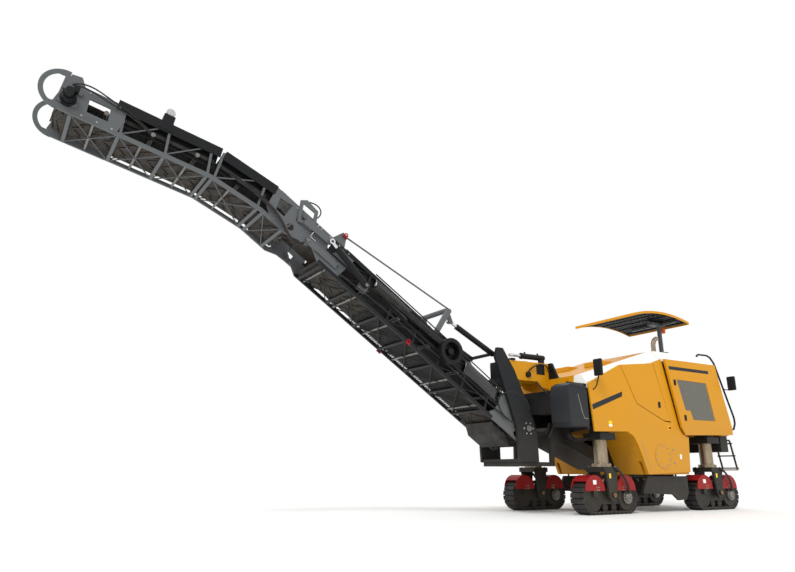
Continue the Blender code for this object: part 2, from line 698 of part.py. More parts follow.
def rear_deck(side):
    """The wall and the roof of a side compartment behind the hood's break."""
    profile = [
        (side * DECK_IN, PLATFORM_Z - 0.02),
        (side * DECK_IN, DECK_FLAT_Z),
        (side * DECK_FLAT_OUT, DECK_FLAT_Z),
        (side * DECK_EDGE_Y, RIDGE_Z + 0.02),
        (side * DECK_EDGE_Y, RIDGE_Z - 0.02),
        (side * (DECK_IN + 0.04), RIDGE_Z - 0.02),
        (side * (DECK_IN + 0.04), PLATFORM_Z - 0.02),
    ]
    roof = slab("rear_deck", profile, -3.18, HOOD_BREAK_X - 0.02, "X")
    rear_wall = box("rear_wall", (-3.24, -3.17), sorted((side * DECK_IN, side * (DECK_EDGE_Y - 0.01))), (PLATFORM_Z - 0.03, RIDGE_Z + 0.015))
    sleeve_ends = ((-WHEELBASE, side * GAUGE / 2, 1.8), (-WHEELBASE, side * GAUGE / 2, SLEEVE_TOP_Z + 0.004))
    cut(join(roof, rear_wall), bar("sleeve_gap", *sleeve_ends, SLEEVE_RADIUS + 0.004))
    return join(roof, handrail(side))


def platform():
    """The operator's deck with its front wall, side compartments, rails and canopy post sleeve."""
    rail_top = FRAME_RAIL_Z + FRAME_RAIL_HEIGHT
    deck = box("platform", (REAR_X + 0.3, PLATFORM_FRONT_X + 0.02), (-0.86, 0.86), (rail_top + GAP, PLATFORM_Z))
    for leg_x, leg_y in CORNERS.values():
        cut(deck, bar("sleeve_gap", (leg_x, leg_y, rail_top - 0.1), (leg_x, leg_y, PLATFORM_Z + 0.1), SLEEVE_RADIUS + 0.002))
    wall_outline = [(-INNER_HALF, rail_top + GAP), (INNER_HALF, rail_top + GAP), (INNER_HALF, 2.76), (0.82, 2.96), (-0.82, 2.96), (-INNER_HALF, 2.76)]
    wall = slab("platform_wall", wall_outline, HOOD_BREAK_X - GAP - 0.03, HOOD_BREAK_X - GAP, "X")
    join(deck, wall, rear_deck(1), rear_deck(-1))
    sleeve = bar("post_sleeve", (POST_X, POST_Y, PLATFORM_Z - 0.02), (POST_X, POST_Y, POST_FLANGE_Z), POST_SLEEVE_RADIUS, ROUND)
    flange = bar("post_flange", (POST_X, POST_Y, POST_FLANGE_Z - 0.03), (POST_X, POST_Y, POST_FLANGE_Z), 0.13)
    bore_ends = ((POST_X, POST_Y, PLATFORM_Z + 0.03), (POST_X, POST_Y, POST_FLANGE_Z + 0.1))
    join(deck, sleeve, flange)
    cut(deck, bar("post_bore", *bore_ends, POST_RADIUS + PIN_CLEAR, SMALL))
    carry(origin, paint(deck, WHITE))


def seat_and_console():
    floor = PLATFORM_Z + GAP
    seat = box("operator_seat", (-2.62, -2.14), (-0.25, 0.25), (floor + 0.36, floor + 0.48))
    join(seat, box("seat_base", (-2.5, -2.26), (-0.14, 0.14), (floor, floor + 0.38)))
    join(seat, box("seat_back", (-2.70, -2.58), (-0.24, 0.24), (floor + 0.40, floor + 0.98)))
    carry(origin, paint(seat, SEAT))
    console = box("control_console", (-1.94, -1.72), (-0.45, 0.45), (floor, floor + 0.88))
    join(console, box("console_top", (-2.0, -1.70), (-0.5, 0.5), (floor + 0.86, floor + 0.98)))
    carry(origin, paint(console, SLATE))


def ladder(side):
    """Two stringers with three treads, hung from the rear bumper."""
    back = REAR_X + 0.04
    stringers = []
    for y in (0.68, 0.98):
        points = [(back, side * y, 1.32), (back - 0.12, side * y, 1.32), (back - 0.26, side * y, 0.76)]
        stringers.append(pipe("stringer", points, 0.018))
    for number in range(3):
        z = 0.78 + number * 0.24
        x = back - 0.26 + (z - 0.76) / (1.32 - 0.76) * 0.14
        join(stringers[0], box("tread", (x - 0.05, x + 0.05), sorted((side * 0.66, side * 1.0)), (z - 0.012, z + 0.012)))
    return join(stringers[0], stringers[1])


def rear_body():
    """The painted tail over a black bumper with two ladders, behind the rear legs."""
    x = (REAR_X + 0.02, -WHEELBASE - 0.25 - GAP)
    tail = box("rear_body", x, (-1.05, 1.05), (1.40, PLATFORM_Z))
    bumper = box("rear_bumper", (x[0] + 0.005, x[1] - 0.02), (-1.0, 1.0), (1.09, 1.42))
    join(tail, bumper, ladder(1), ladder(-1))
    carry(origin, paint(tail, YELLOW))


front_hood()
engine()
platform()
seat_and_console()
rear_body()


# ---------------------------------------------------------------- canopy, exhaust, rails, ladders, mirrors
def canopy():
    """The weather roof on its post, which slides down in a sleeve on the platform."""
    slide = pivot("canopy_lift", (POST_X, POST_Y, POST_FLANGE_Z), origin)
    middle = (CANOPY_FRONT_X + CANOPY_REAR_X) / 2
    half = (CANOPY_FRONT_X - CANOPY_REAR_X) / 2
    radius = (half ** 2 + CANOPY_RISE ** 2) / (2 * CANOPY_RISE)
    spread = math.degrees(math.asin(half / radius))
    centre = (middle, CANOPY_Z + CANOPY_RISE - radius)
    top = arc(centre, radius, 90 - spread, 90 + spread, 12)
    under = arc(centre, radius - CANOPY_THICK, 90 + spread, 90 - spread, 12)
    roof = slab("canopy_roof", top + under, -CANOPY_WIDTH / 2, CANOPY_WIDTH / 2)
    post_top_z = centre[1] + math.sqrt((radius - CANOPY_THICK) ** 2 - (POST_X - middle) ** 2) + 0.015
    join(roof, bar("canopy_post", (POST_X, POST_Y, 2.45), (POST_X, POST_Y, post_top_z), POST_RADIUS, SMALL))
    carry(slide, paint(roof, YELLOW))


def exhaust():
    """The exhaust's curved end on the left deck."""
    x, y, z = -1.76, 0.85, DECK_FLAT_Z + GAP
    bend = [(x - 0.17 + 0.17 * math.cos(math.radians(a)), y, z + 0.12 + 0.17 * math.sin(math.radians(a))) for a in range(0, 76, 15)]
    carry(origin, paint(pipe("exhaust_pipe", [(x, y, z), *bend], 0.045, 3), STEEL))


canopy()
exhaust()

# ---------------------------------------------------------------- nose
NOSE_X = (HOOD_FRONT_X - 0.05, HOOD_FRONT_X)
HEAD_HALF = 0.22


def nose():
    """The bulkhead that closes the body in front, with a window for the primary conveyor."""
    x = (HOOD_FRONT_X + GAP, HOOD_FRONT_X + 0.05)
    outline = [(-0.62, 1.25), (0.62, 1.25), (0.62, 1.38), (1.03, 1.42), (1.03, 2.20), (0.45, 2.32), (0.30, 2.66), (-0.30, 2.66), (-0.45, 2.32), (-1.03, 2.20), (-1.03, 1.42), (-0.62, 1.38)]
    bulkhead = slab("front_bulkhead", outline, *x, "X")
    window = PRIMARY_HALF_WIDTH + GAP
    cut(bulkhead, box("belt_window", (x[0] - 0.1, x[1] + 0.1), (-window, window), (1.15, 1.75)))
    for side_name, side in (("left", 1), ("right", -1)):
        plan = [(x[1] + GAP, side * 0.70), (1.0, side * 0.70), (0.93, side * BODY_HALF_WIDTH), (x[1] + GAP, side * BODY_HALF_WIDTH)]
        cover = slab(f"{side_name}_front_cover", plan, 1.45, 2.2, "Z")
        carry(origin, paint(cover, SLATE))
    head = box("slew_head", (x[1] - 0.02, SLEW_X + 0.15), (-HEAD_HALF, HEAD_HALF), (SLEW_HEAD_Z, SLEW_HEAD_Z + SLEW_HEAD_HEIGHT))
    lug_z = (SLEW_HEAD_Z + SLEW_HEAD_HEIGHT - 0.01, SLEW_CYLINDER_Z - BARREL_RADIUS + 0.02)
    join(head, box("barrel_lug", (0.58, 0.68), (SLEW_LEVER - 0.04, HEAD_HALF), lug_z))
    bore = bar("head_bore", (SLEW_X, 0, SLEW_HEAD_Z - 0.1), (SLEW_X, 0, SLEW_HEAD_Z + 0.5), 0.05 + PIN_CLEAR, ROUND)
    y, z = SLEW_LEVER - 0.02, SLEW_CYLINDER_Z
    join(head, bar("slew_barrel", (0.56, y, z), (1.12, y, z), BARREL_RADIUS, 16))
    cut(head, bore, bar("rod_bore", (0.61, y, z), (1.2, y, z), ROD_RADIUS + PIN_CLEAR, SMALL))
    foot_top = SLEW_FOOT_Z + SLEW_FOOT_THICK
    back = x[1] - 0.02
    front = SLEW_X + 0.2
    cheek = [(back, 1.62), (back, 1.27), (0.70, 1.05), (0.75, 1.0), (0.75, SLEW_FOOT_Z), (front, SLEW_FOOT_Z), (front, foot_top), (0.84, foot_top), (0.82, 1.3), (0.62, 1.62)]
    foot = slab("slew_foot", cheek, 0.42, 0.47)
    join(foot, slab("right_cheek", cheek, -0.47, -0.42))
    join(foot, box("foot_plate", (0.86, front - 0.002), (-0.46, 0.46), (SLEW_FOOT_Z + 0.002, SLEW_FOOT_Z + SLEW_FOOT_THICK - 0.002)))
    join(bulkhead, head, foot)
    carry(origin, paint(bulkhead, BLACK))


def primary_conveyor():
    """The inclined trough that carries the cut material forward, with its belt."""
    start, end = (-0.80, 0.86), (0.76, 1.46)
    slope = math.atan2(end[1] - start[1], end[0] - start[0])
    across = (-math.sin(slope), math.cos(slope))

    def along(place, rise):
        return (place[0] + across[0] * rise, place[1] + across[1] * rise)

    side_outline = [along(start, -0.12), along(end, -0.12), along(end, 0.10), along(start, 0.10)]
    trough = slab("primary_conveyor_frame", side_outline, PRIMARY_HALF_WIDTH - 0.03, PRIMARY_HALF_WIDTH)
    join(trough, slab("right_side", side_outline, -PRIMARY_HALF_WIDTH, 0.03 - PRIMARY_HALF_WIDTH))
    floor_outline = [along(start, -0.12), along(end, -0.12), along(end, -0.10), along(start, -0.10)]
    join(trough, slab("trough_floor", grown(floor_outline, 0, 0.001), 0.01 - PRIMARY_HALF_WIDTH, PRIMARY_HALF_WIDTH - 0.01))
    carry(origin, paint(trough, BLACK))
    belt_half = PRIMARY_HALF_WIDTH - 0.03 - 0.004
    belt_radius = 0.07
    length = math.dist(start, end)
    loop = []
    for number in range(9):
        angle = math.radians(-90 + number * 22.5)
        loop.append((length / 2 - 0.08 + belt_radius * math.cos(angle), belt_radius * math.sin(angle)))
    for number in range(9):
        angle = math.radians(90 + number * 22.5)
        loop.append((0.08 - length / 2 + belt_radius * math.cos(angle), belt_radius * math.sin(angle)))
    middle = ((start[0] + end[0]) / 2, (start[1] + end[1]) / 2)
    turned = []
    for a, b in loop:
        x = middle[0] + a * math.cos(slope) - (b - 0.0285) * math.sin(slope)
        z = middle[1] + a * math.sin(slope) + (b - 0.0285) * math.cos(slope)
        turned.append((x, z))
    carry(origin, paint(slab("primary_belt", turned, -belt_half, belt_half), BELT))


nose()
primary_conveyor()

# ---------------------------------------------------------------- slew bracket and its cylinder
slew = pivot("conveyor_slew", (SLEW_X, 0, SLEW_HEAD_Z), origin)
luff = pivot("conveyor_luff", (SLEW_X, 0, LUFF_Z), slew)
ARM_IN = CONVEYOR_HALF_WIDTH + BRACKET_SIDE_CLEAR
ARM_OUT = ARM_IN + BRACKET_ARM_THICK
BRACKET_FLOOR_Z = SLEW_FOOT_Z + SLEW_FOOT_THICK + GAP
BRACKET_PIN_RADIUS = 0.05


def slew_bracket():
    """The yoke that turns in the nose's two bearings and holds the conveyor and its luff cylinders."""
    outline = [
        (1.16, BRACKET_FLOOR_Z),
        (1.60, BRACKET_FLOOR_Z),
        (1.62, LUFF_Z),
        (2.02, 2.62),
        (1.97, 2.79),
        (1.84, 2.79),
        (1.60, 2.42),
        (1.24, 1.60),
        (1.16, 1.30),
    ]
    bracket = slab("slew_bracket", outline, ARM_IN, ARM_OUT)
    join(bracket, slab("right_arm", outline, -ARM_OUT, -ARM_IN))
    floor = box("bracket_floor", (1.17, 1.59), (-ARM_OUT + 0.01, ARM_OUT - 0.01), (BRACKET_FLOOR_Z + GAP, BRACKET_FLOOR_Z + 0.05))
    beam = box("bracket_beam", (1.62, 1.80), (-ARM_OUT + 0.01, ARM_OUT - 0.01), (2.19, SLEW_HEAD_Z - 0.02))
    lug = box("bracket_lug", (SLEW_X - 0.11, 1.65), (-0.11, 0.11), (2.2, SLEW_HEAD_Z - 0.01))
    head_top = SLEW_HEAD_Z + SLEW_HEAD_HEIGHT
    pin = bar("slew_pin", (SLEW_X, 0, 2.21), (SLEW_X, 0, head_top + 0.06), BRACKET_PIN_RADIUS)
    lever = box("slew_lever", (SLEW_X - 0.045, SLEW_X + 0.045), (-0.045, SLEW_LEVER + 0.045), (head_top + CLEAR, head_top + 0.045))
    foot_bar = bar("luff_foot_bar", (LUFF_FOOT_X, -ARM_OUT + 0.01, LUFF_FOOT_Z), (LUFF_FOOT_X, ARM_OUT - 0.01, LUFF_FOOT_Z), 0.03, SMALL)
    join(bracket, floor, beam, lug, pin, lever, foot_bar)
    for side in (-1, 1):
        ends = ((SLEW_X, side * (CONVEYOR_HALF_WIDTH - SIDE_THICK + 0.005), LUFF_Z), (SLEW_X, side * (ARM_OUT - 0.01), LUFF_Z))
        join(bracket, bar("luff_pin", *ends, LUFF_PIN_RADIUS, SMALL))
    carry(slew, paint(bracket, GREY))


def cylinder(prefix, foot, eye, y, barrel_share, barrel_carrier, rod_carrier):
    """A hydraulic cylinder between a foot pin and an eye in the side view, at one distance from the middle."""
    foot, eye = Vector(foot), Vector(eye)
    along = (eye - foot).normalized()
    mouth = foot + along * (eye - foot).length * barrel_share

    def place(point):
        return (point.x, y, point.y)

    barrel = bar(f"{prefix}_barrel", place(foot + along * EYE_RADIUS * 0.6), place(mouth), BARREL_RADIUS, 16)
    foot_y = (foot.x, y - EYE_HALF, foot.y), (foot.x, y + EYE_HALF, foot.y)
    join(barrel, bar("foot_ring", *foot_y, EYE_RADIUS, 16))
    bore_start = foot + along * 0.12
    cut(barrel, bar("rod_bore", place(bore_start), place(mouth + along * 0.05), ROD_RADIUS + PIN_CLEAR, SMALL))
    pin_y = (foot.x, y - BARREL_RADIUS - 0.01, foot.y), (foot.x, y + BARREL_RADIUS + 0.01, foot.y)
    cut(barrel, bar("foot_bore", *pin_y, 0.03 + PIN_CLEAR, SMALL))
    carry(barrel_carrier, paint(barrel, BLACK))
    rod_start = mouth - along * 0.16
    rod = bar(f"{prefix}_rod", place(rod_start), place(eye - along * 0.03), ROD_RADIUS, SMALL)
    join(rod, bar("eye_ring", (eye.x, y - EYE_HALF, eye.y), (eye.x, y + EYE_HALF, eye.y), EYE_RADIUS, 16))
    hole = (eye.x, y - EYE_HALF - 0.01, eye.y), (eye.x, y + EYE_HALF + 0.01, eye.y)
    cut(rod, bar("eye_hole", *hole, 0.022, SMALL))
    carry(rod_carrier, paint(rod, CHROME))


def luff_cylinders():
    turn = pivot("luff_cylinder_pivot", (LUFF_FOOT_X, 0, LUFF_FOOT_Z), slew)
    slide = pivot("luff_cylinder_slide", (LUFF_EYE_X, 0, LUFF_EYE_Z), turn)
    for side_name, side in (("left", 1), ("right", -1)):
        foot, eye = (LUFF_FOOT_X, LUFF_FOOT_Z), (LUFF_EYE_X, LUFF_EYE_Z)
        cylinder(f"luff_cylinder_{side_name}", foot, eye, side * LUFF_CYLINDER_Y, 0.84, turn, slide)


def slew_cylinder():
    """The rod of the cylinder that slews the conveyor. Its barrel is part of the slew head."""
    z, y = SLEW_CYLINDER_Z, SLEW_LEVER - 0.02
    slide = pivot("slew_cylinder_slide", (SLEW_X, y, z), origin)
    rod = bar("slew_cylinder_rod", (0.84, y, z), (SLEW_X - 0.03, y, z), ROD_RADIUS, SMALL)
    join(rod, bar("eye_ring", (SLEW_X, y, z - 0.022), (SLEW_X, y, z + 0.022), EYE_RADIUS, 16))
    carry(slide, paint(rod, CHROME))


slew_bracket()
luff_cylinders()
slew_cylinder()

# ---------------------------------------------------------------- discharge conveyor
COS, SIN = math.cos(CONVEYOR_SLOPE), math.sin(CONVEYOR_SLOPE)


def at(u, w):
    """The side-view place of a point given along the lower section and square to it."""
    return (SLEW_X + u * COS - w * SIN, LUFF_Z + u * SIN + w * COS)


def placed(outline):
    return [at(u, w) for u, w in outline]


def turned(angle, distance, rise=0.0):
    """The step, in the lower section's own directions, of a run at another slope."""
    relative = angle - CONVEYOR_SLOPE
    u = distance * math.cos(relative) - rise * math.sin(relative)
    w = distance * math.sin(relative) + rise * math.cos(relative)
    return Vector((u, w))


def front_line(w):
    """The front section's corners at one height: the fold, its two bends and the tip."""
    first = Vector((BEND_U, LOWER_W))
    second = first + turned(MID_SLOPE, MID_LENGTH)
    tip = second + turned(TIP_SLOPE, TIP_LENGTH)
    rise = w - LOWER_W
    half_1 = (CONVEYOR_SLOPE + MID_SLOPE) / 2
    half_2 = (MID_SLOPE + TIP_SLOPE) / 2
    grow = 1 / math.cos((CONVEYOR_SLOPE - MID_SLOPE) / 2)
    return [
        first + turned(half_1, 0, rise * grow),
        second + turned(half_2, 0, rise * grow),
        tip + turned(TIP_SLOPE, 0, rise),
    ]


def truss(name, outline, windows, rungs):
    """Two side frames cut from plate, with windows, joined by rungs across the conveyor."""
    inner = CONVEYOR_HALF_WIDTH - SIDE_THICK
    frame = slab(name, placed(outline), inner, CONVEYOR_HALF_WIDTH)
    for window in windows:
        cut(frame, slab("window", placed(window), inner - 0.02, CONVEYOR_HALF_WIDTH + 0.02))
    other = slab("right_side", placed(outline), -CONVEYOR_HALF_WIDTH, -inner)
    for window in windows:
        cut(other, slab("window", placed(window), -CONVEYOR_HALF_WIDTH - 0.02, 0.02 - inner))
    join(frame, other)
    for (u, w), radius in rungs:
        x, z = at(u, w)
        join(frame, bar("rung", (x, -inner - 0.01, z), (x, inner + 0.01, z), radius, 12))
    return frame


WINDOW_ROWS = ((0.07, 0.20), (0.33, 0.455))  # heights above the lower chord, below and above the mid rail


def windows_along(start, slope, length, count):
    """Two rows of windows with slanted ends, from a point on the lower chord's outer edge."""
    pitch = length / count
    found = []
    for number in range(count):
        for low, high in WINDOW_ROWS:
            corners = ((0.03, low), (pitch - 0.07, low), (pitch - 0.03, high), (0.07, high))
            found.append([tuple(Vector(start) + turned(slope, number * pitch + a, b)) for a, b in corners])
    return found


RETURN_ROLLER = 0.02
CARRY_ROLLER = 0.035


def rungs_along(places, low_w, high_w):
    found = []
    for u in places:
        found.append(((u, high_w - CARRY_ROLLER - GAP), CARRY_ROLLER))
        found.append(((u + 0.1, low_w - RETURN_ROLLER - GAP), RETURN_ROLLER))
    return found


def lower_conveyor():
    outline = [
        (TAIL_U, -0.22),
        (TAIL_U + 0.08, LOWER_W),
        (FOLD_U - FOLD_CUTBACK, LOWER_W),
        (FOLD_U - 0.11, FOLD_W - 0.02),
        (FOLD_U - 0.11, FOLD_W + 0.11),
        (FOLD_U - 0.004, FOLD_W + 0.11),
        (FOLD_U - 0.004, TOP_W),
        (0.58, TOP_W),
        (0.22, 0.05),
        (TAIL_U, 0.03),
    ]
    windows = windows_along((0.85, LOWER_W), CONVEYOR_SLOPE, 3.5, 5)
    rungs = rungs_along([0.35, 0.95, 1.65, 2.35, 3.05, 3.75, 4.4], BELT_LOW_W, BELT_TOP_W - BELT_THICK)
    frame = truss("conveyor_frame_lower", outline, windows, rungs)
    for side in (-1, 1):
        inner = side * (CONVEYOR_HALF_WIDTH - 0.01)
        ear_low, ear_high = CONVEYOR_HALF_WIDTH + CLEAR, CONVEYOR_HALF_WIDTH + CLEAR + 0.03
        ear_outline = [(4.40, FOLD_W - 0.05), (FOLD_U, FOLD_W - 0.05), (FOLD_U + 0.05, FOLD_W), (FOLD_U, FOLD_W + 0.05), (4.40, FOLD_W + 0.05)]
        ear = slab("fold_ear", placed(ear_outline), *sorted((side * ear_low, side * ear_high)))
        spacer_outline = [(4.42, FOLD_W - 0.045), (4.72, FOLD_W - 0.045), (4.72, FOLD_W + 0.045), (4.42, FOLD_W + 0.045)]
        spacer = slab("ear_spacer", placed(spacer_outline), *sorted((inner, side * (ear_high - 0.005))))
        x, z = at(FOLD_U, FOLD_W)
        pin = bar("fold_pin", (x, side * (CONVEYOR_HALF_WIDTH - SIDE_THICK), z), (x, side * (ear_high - 0.005), z), FOLD_PIN_RADIUS, SMALL)
        x, z = at(FOLD_FOOT_U, FOLD_FOOT_W)
        plate = [(FOLD_FOOT_U - 0.08, FOLD_FOOT_W - 0.09), (FOLD_FOOT_U + 0.08, FOLD_FOOT_W - 0.09), (FOLD_FOOT_U + 0.08, FOLD_FOOT_W + 0.09), (FOLD_FOOT_U - 0.08, FOLD_FOOT_W + 0.09)]
        foot_plate = slab("fold_foot_plate", placed(plate), *sorted((inner, side * (FOLD_CYLINDER_Y - BARREL_RADIUS - 0.005))))
        foot_pin = bar("fold_foot_pin", (x, inner, z), (x, side * (FOLD_CYLINDER_Y + EYE_HALF + 0.004), z), 0.03, SMALL)
        join(frame, ear, spacer, pin, foot_plate, foot_pin)
        anchor = [(4.45, TOP_W - 0.02), (4.72, TOP_W - 0.02), (4.62, 0.42), (4.54, 0.42)]
        join(frame, slab("stay_anchor", placed(anchor), *sorted((side * 0.40, side * 0.425))))
    for side in (-1, 1):
        ends = ((SLEW_X, side * 0.38, LUFF_Z), (SLEW_X, side * 0.45, LUFF_Z))
        cut(frame, bar("luff_bore", *ends, LUFF_PIN_RADIUS + PIN_CLEAR, SMALL))
    x, z = at(PULLEY_U, (BELT_TOP_W + BELT_LOW_W) / 2)
    pulley_radius = wheel_inside((BELT_TOP_W - BELT_LOW_W) / 2 - BELT_THICK, BELT_STEPS)
    pulley = bar("tail_pulley", (x, -BELT_HALF_WIDTH, z), (x, BELT_HALF_WIDTH, z), pulley_radius)
    shaft_end = CONVEYOR_HALF_WIDTH - 0.01
    join(frame, pulley, bar("pulley_shaft", (x, -shaft_end, z), (x, shaft_end, z), 0.04, SMALL))
    carry(luff, paint(frame, BLACK))

    outer_radius = (BELT_TOP_W - BELT_LOW_W) / 2
    centre = (PULLEY_U, (BELT_TOP_W + BELT_LOW_W) / 2)
    inner_radius = outer_radius - BELT_THICK
    loop = [(FOLD_U - 0.01, BELT_TOP_W), *arc(centre, outer_radius, 90, 270, BELT_STEPS), (FOLD_U - FOLD_CUTBACK, BELT_LOW_W)]
    back = [(FOLD_U - FOLD_CUTBACK, BELT_LOW_W + BELT_THICK), *arc(centre, inner_radius, 270, 90, BELT_STEPS), (FOLD_U - 0.01, BELT_TOP_W - BELT_THICK)]
    carry(luff, paint(slab("belt_lower", placed(loop + back), -BELT_HALF_WIDTH, BELT_HALF_WIDTH), BELT))


FOLD_CYLINDER_Y = 0.55
LEVER_Y = (0.485, 0.515)


def cover(name, start, slope, length, carrier):
    """An arched cover of one slope, on the top chords."""
    half = CONVEYOR_HALF_WIDTH
    radius = (half ** 2 + COVER_RISE ** 2) / (2 * COVER_RISE)
    spread = math.degrees(math.asin(half / radius))
    outer = arc((0, COVER_RISE - radius), radius, 90 - spread, 90 + spread, 10)
    inner = arc((0, COVER_RISE - radius), radius - COVER_THICK, 90 + spread, 90 - spread, 10)
    inner = [(y, max(z, 0.0)) for y, z in inner]
    inner[0] = (-half + 0.03, 0.0)
    inner[-1] = (half - 0.03, 0.0)
    roof = slab(name, outer + inner, 0, length, "X")
    x, z = at(*start)
    matrix = Matrix.Translation((x, 0, z)) @ Matrix.Rotation(-slope, 4, "Y")
    roof.matrix_basis = matrix @ roof.matrix_basis
    carry(carrier, paint(roof, WHITE))


def front_conveyor(fold):
    low = front_line(LOWER_W)
    top = front_line(TOP_W)
    tip_low = low[2]
    tip_top = tip_low + turned(TIP_SLOPE, -0.12, TIP_DEPTH)
    around = arc((FOLD_U, FOLD_W), 0.075, 100, 280, 6)
    outline = [(FOLD_U + 0.004, TOP_W), (FOLD_U + 0.004, FOLD_W + 0.1), *around, (FOLD_U + 0.12, FOLD_W - 0.08), (FOLD_U + FOLD_CUTBACK, LOWER_W), *low, tip_top, top[1], top[0]]
    deck_top = front_line(BELT_TOP_W)
    deck_low = front_line(BELT_LOW_W)
    rungs = []
    for line, drop, radius in ((deck_top, BELT_THICK + GAP, CARRY_ROLLER), (deck_low, GAP, RETURN_ROLLER)):
        starts = [Vector((FOLD_U + 0.25, line[0].y)), line[0], line[1]]
        if radius == RETURN_ROLLER:
            starts[0] = Vector((FOLD_U + FOLD_CUTBACK, line[0].y))
        slopes = (CONVEYOR_SLOPE, MID_SLOPE, TIP_SLOPE)
        lengths = [(b - a).length for a, b in zip(starts, line)]
        for start, slope, length in zip(starts, slopes, lengths):
            count = 3 if length > 1.5 else 1
            for number in range(count):
                place = start + turned(slope, length * (number + 0.5) / (count + 0.3), -(drop + radius))
                rungs.append((tuple(place), radius))
    windows = windows_along(low[0] + turned(MID_SLOPE, 0.05), MID_SLOPE, 0.75, 1)
    windows += windows_along(low[1] + turned(TIP_SLOPE, 0.05), TIP_SLOPE, 1.75, 3)
    frame = truss("conveyor_frame_front", [tuple(p) for p in outline], windows, rungs)
    for side in (-1, 1):
        spacer_outline = [(FOLD_U + 0.06, 0.0), (FOLD_U + 0.22, 0.0), (FOLD_U + 0.22, 0.14), (FOLD_U + 0.06, 0.14)]
        spacer = slab("lever_spacer", placed(spacer_outline), *sorted((side * (CONVEYOR_HALF_WIDTH - 0.01), side * (LEVER_Y[1] - 0.002))))
        lever_outline = [(FOLD_U + 0.20, 0.01), (FOLD_U + 0.20, 0.13), (FOLD_EYE_U, FOLD_EYE_W + 0.045), (FOLD_EYE_U - 0.045, FOLD_EYE_W), (FOLD_EYE_U, FOLD_EYE_W - 0.045)]
        lever = slab("fold_lever", placed(lever_outline), *sorted((side * LEVER_Y[0], side * LEVER_Y[1])))
        join(frame, spacer, lever)
        hoop = []
        base = at(*(tip_low + turned(TIP_SLOPE, -0.1, 0.05)))
        crown = at(*(tip_low + turned(TIP_SLOPE, -0.16, TIP_DEPTH - 0.05)))
        reach = HOOP_FRONT_X - HOOP_RADIUS
        y = side * (CONVEYOR_HALF_WIDTH - 0.01)
        hoop = [(base[0], y, base[1]), (reach - 0.10, y, base[1] + 0.03), (reach, y, base[1] + 0.14), (reach, y, crown[1] - 0.1), (reach - 0.1, y, crown[1] + 0.02), (crown[0], y, crown[1])]
        join(frame, pipe("hoop", hoop, HOOP_RADIUS))
    x, z = at(FOLD_U, FOLD_W)
    for side in (-1, 1):
        cut(frame, bar("fold_bore", (x, side * 0.38, z), (x, side * 0.46, z), FOLD_PIN_RADIUS + PIN_CLEAR, SMALL))

    radius = (BELT_TOP_W - BELT_LOW_W) / 2
    middle = (BELT_TOP_W + BELT_LOW_W) / 2
    line = front_line(middle)
    head = line[2] + turned(TIP_SLOPE, -0.13)
    x, z = at(*head)
    pulley = bar("head_pulley", (x, -BELT_HALF_WIDTH, z), (x, BELT_HALF_WIDTH, z), wheel_inside(radius - BELT_THICK, BELT_STEPS))
    shaft_end = CONVEYOR_HALF_WIDTH - 0.01
    join(frame, pulley, bar("pulley_shaft", (x, -shaft_end, z), (x, shaft_end, z), 0.04, SMALL))

    def wrap(belt_radius):
        return [tuple(head + turned(TIP_SLOPE, a, b)) for a, b in arc((0, 0), belt_radius, -90, 90, BELT_STEPS)]

    under = front_line(BELT_LOW_W)
    over = front_line(BELT_TOP_W)
    under_in = front_line(BELT_LOW_W + BELT_THICK)
    over_in = front_line(BELT_TOP_W - BELT_THICK)
    loop = [(FOLD_U + FOLD_CUTBACK, BELT_LOW_W), *map(tuple, under[:2]), *wrap(radius), *map(tuple, reversed(over[:2])), (FOLD_U + 0.01, BELT_TOP_W)]
    back = [(FOLD_U + 0.01, BELT_TOP_W - BELT_THICK), *map(tuple, over_in[:2]), *reversed(wrap(radius - BELT_THICK)), *map(tuple, reversed(under_in[:2])), (FOLD_U + FOLD_CUTBACK, BELT_LOW_W + BELT_THICK)]
    carry(fold, paint(slab("belt_front", placed(loop + back), -BELT_HALF_WIDTH, BELT_HALF_WIDTH), BELT))

    motor = bar("belt_motor", (x, CONVEYOR_HALF_WIDTH - 0.01, z), (x, CONVEYOR_HALF_WIDTH + 0.16, z), 0.09)
    join(motor, bar("motor_body", (x, CONVEYOR_HALF_WIDTH + 0.15, z), (x, CONVEYOR_HALF_WIDTH + 0.28, z), 0.06, 16))
    join(frame, motor)
    carry(fold, paint(frame, BLACK))
    cover("conveyor_cover_front", (FOLD_U + 0.10, TOP_W + GAP), CONVEYOR_SLOPE, BEND_U - FOLD_U - 0.16, fold)


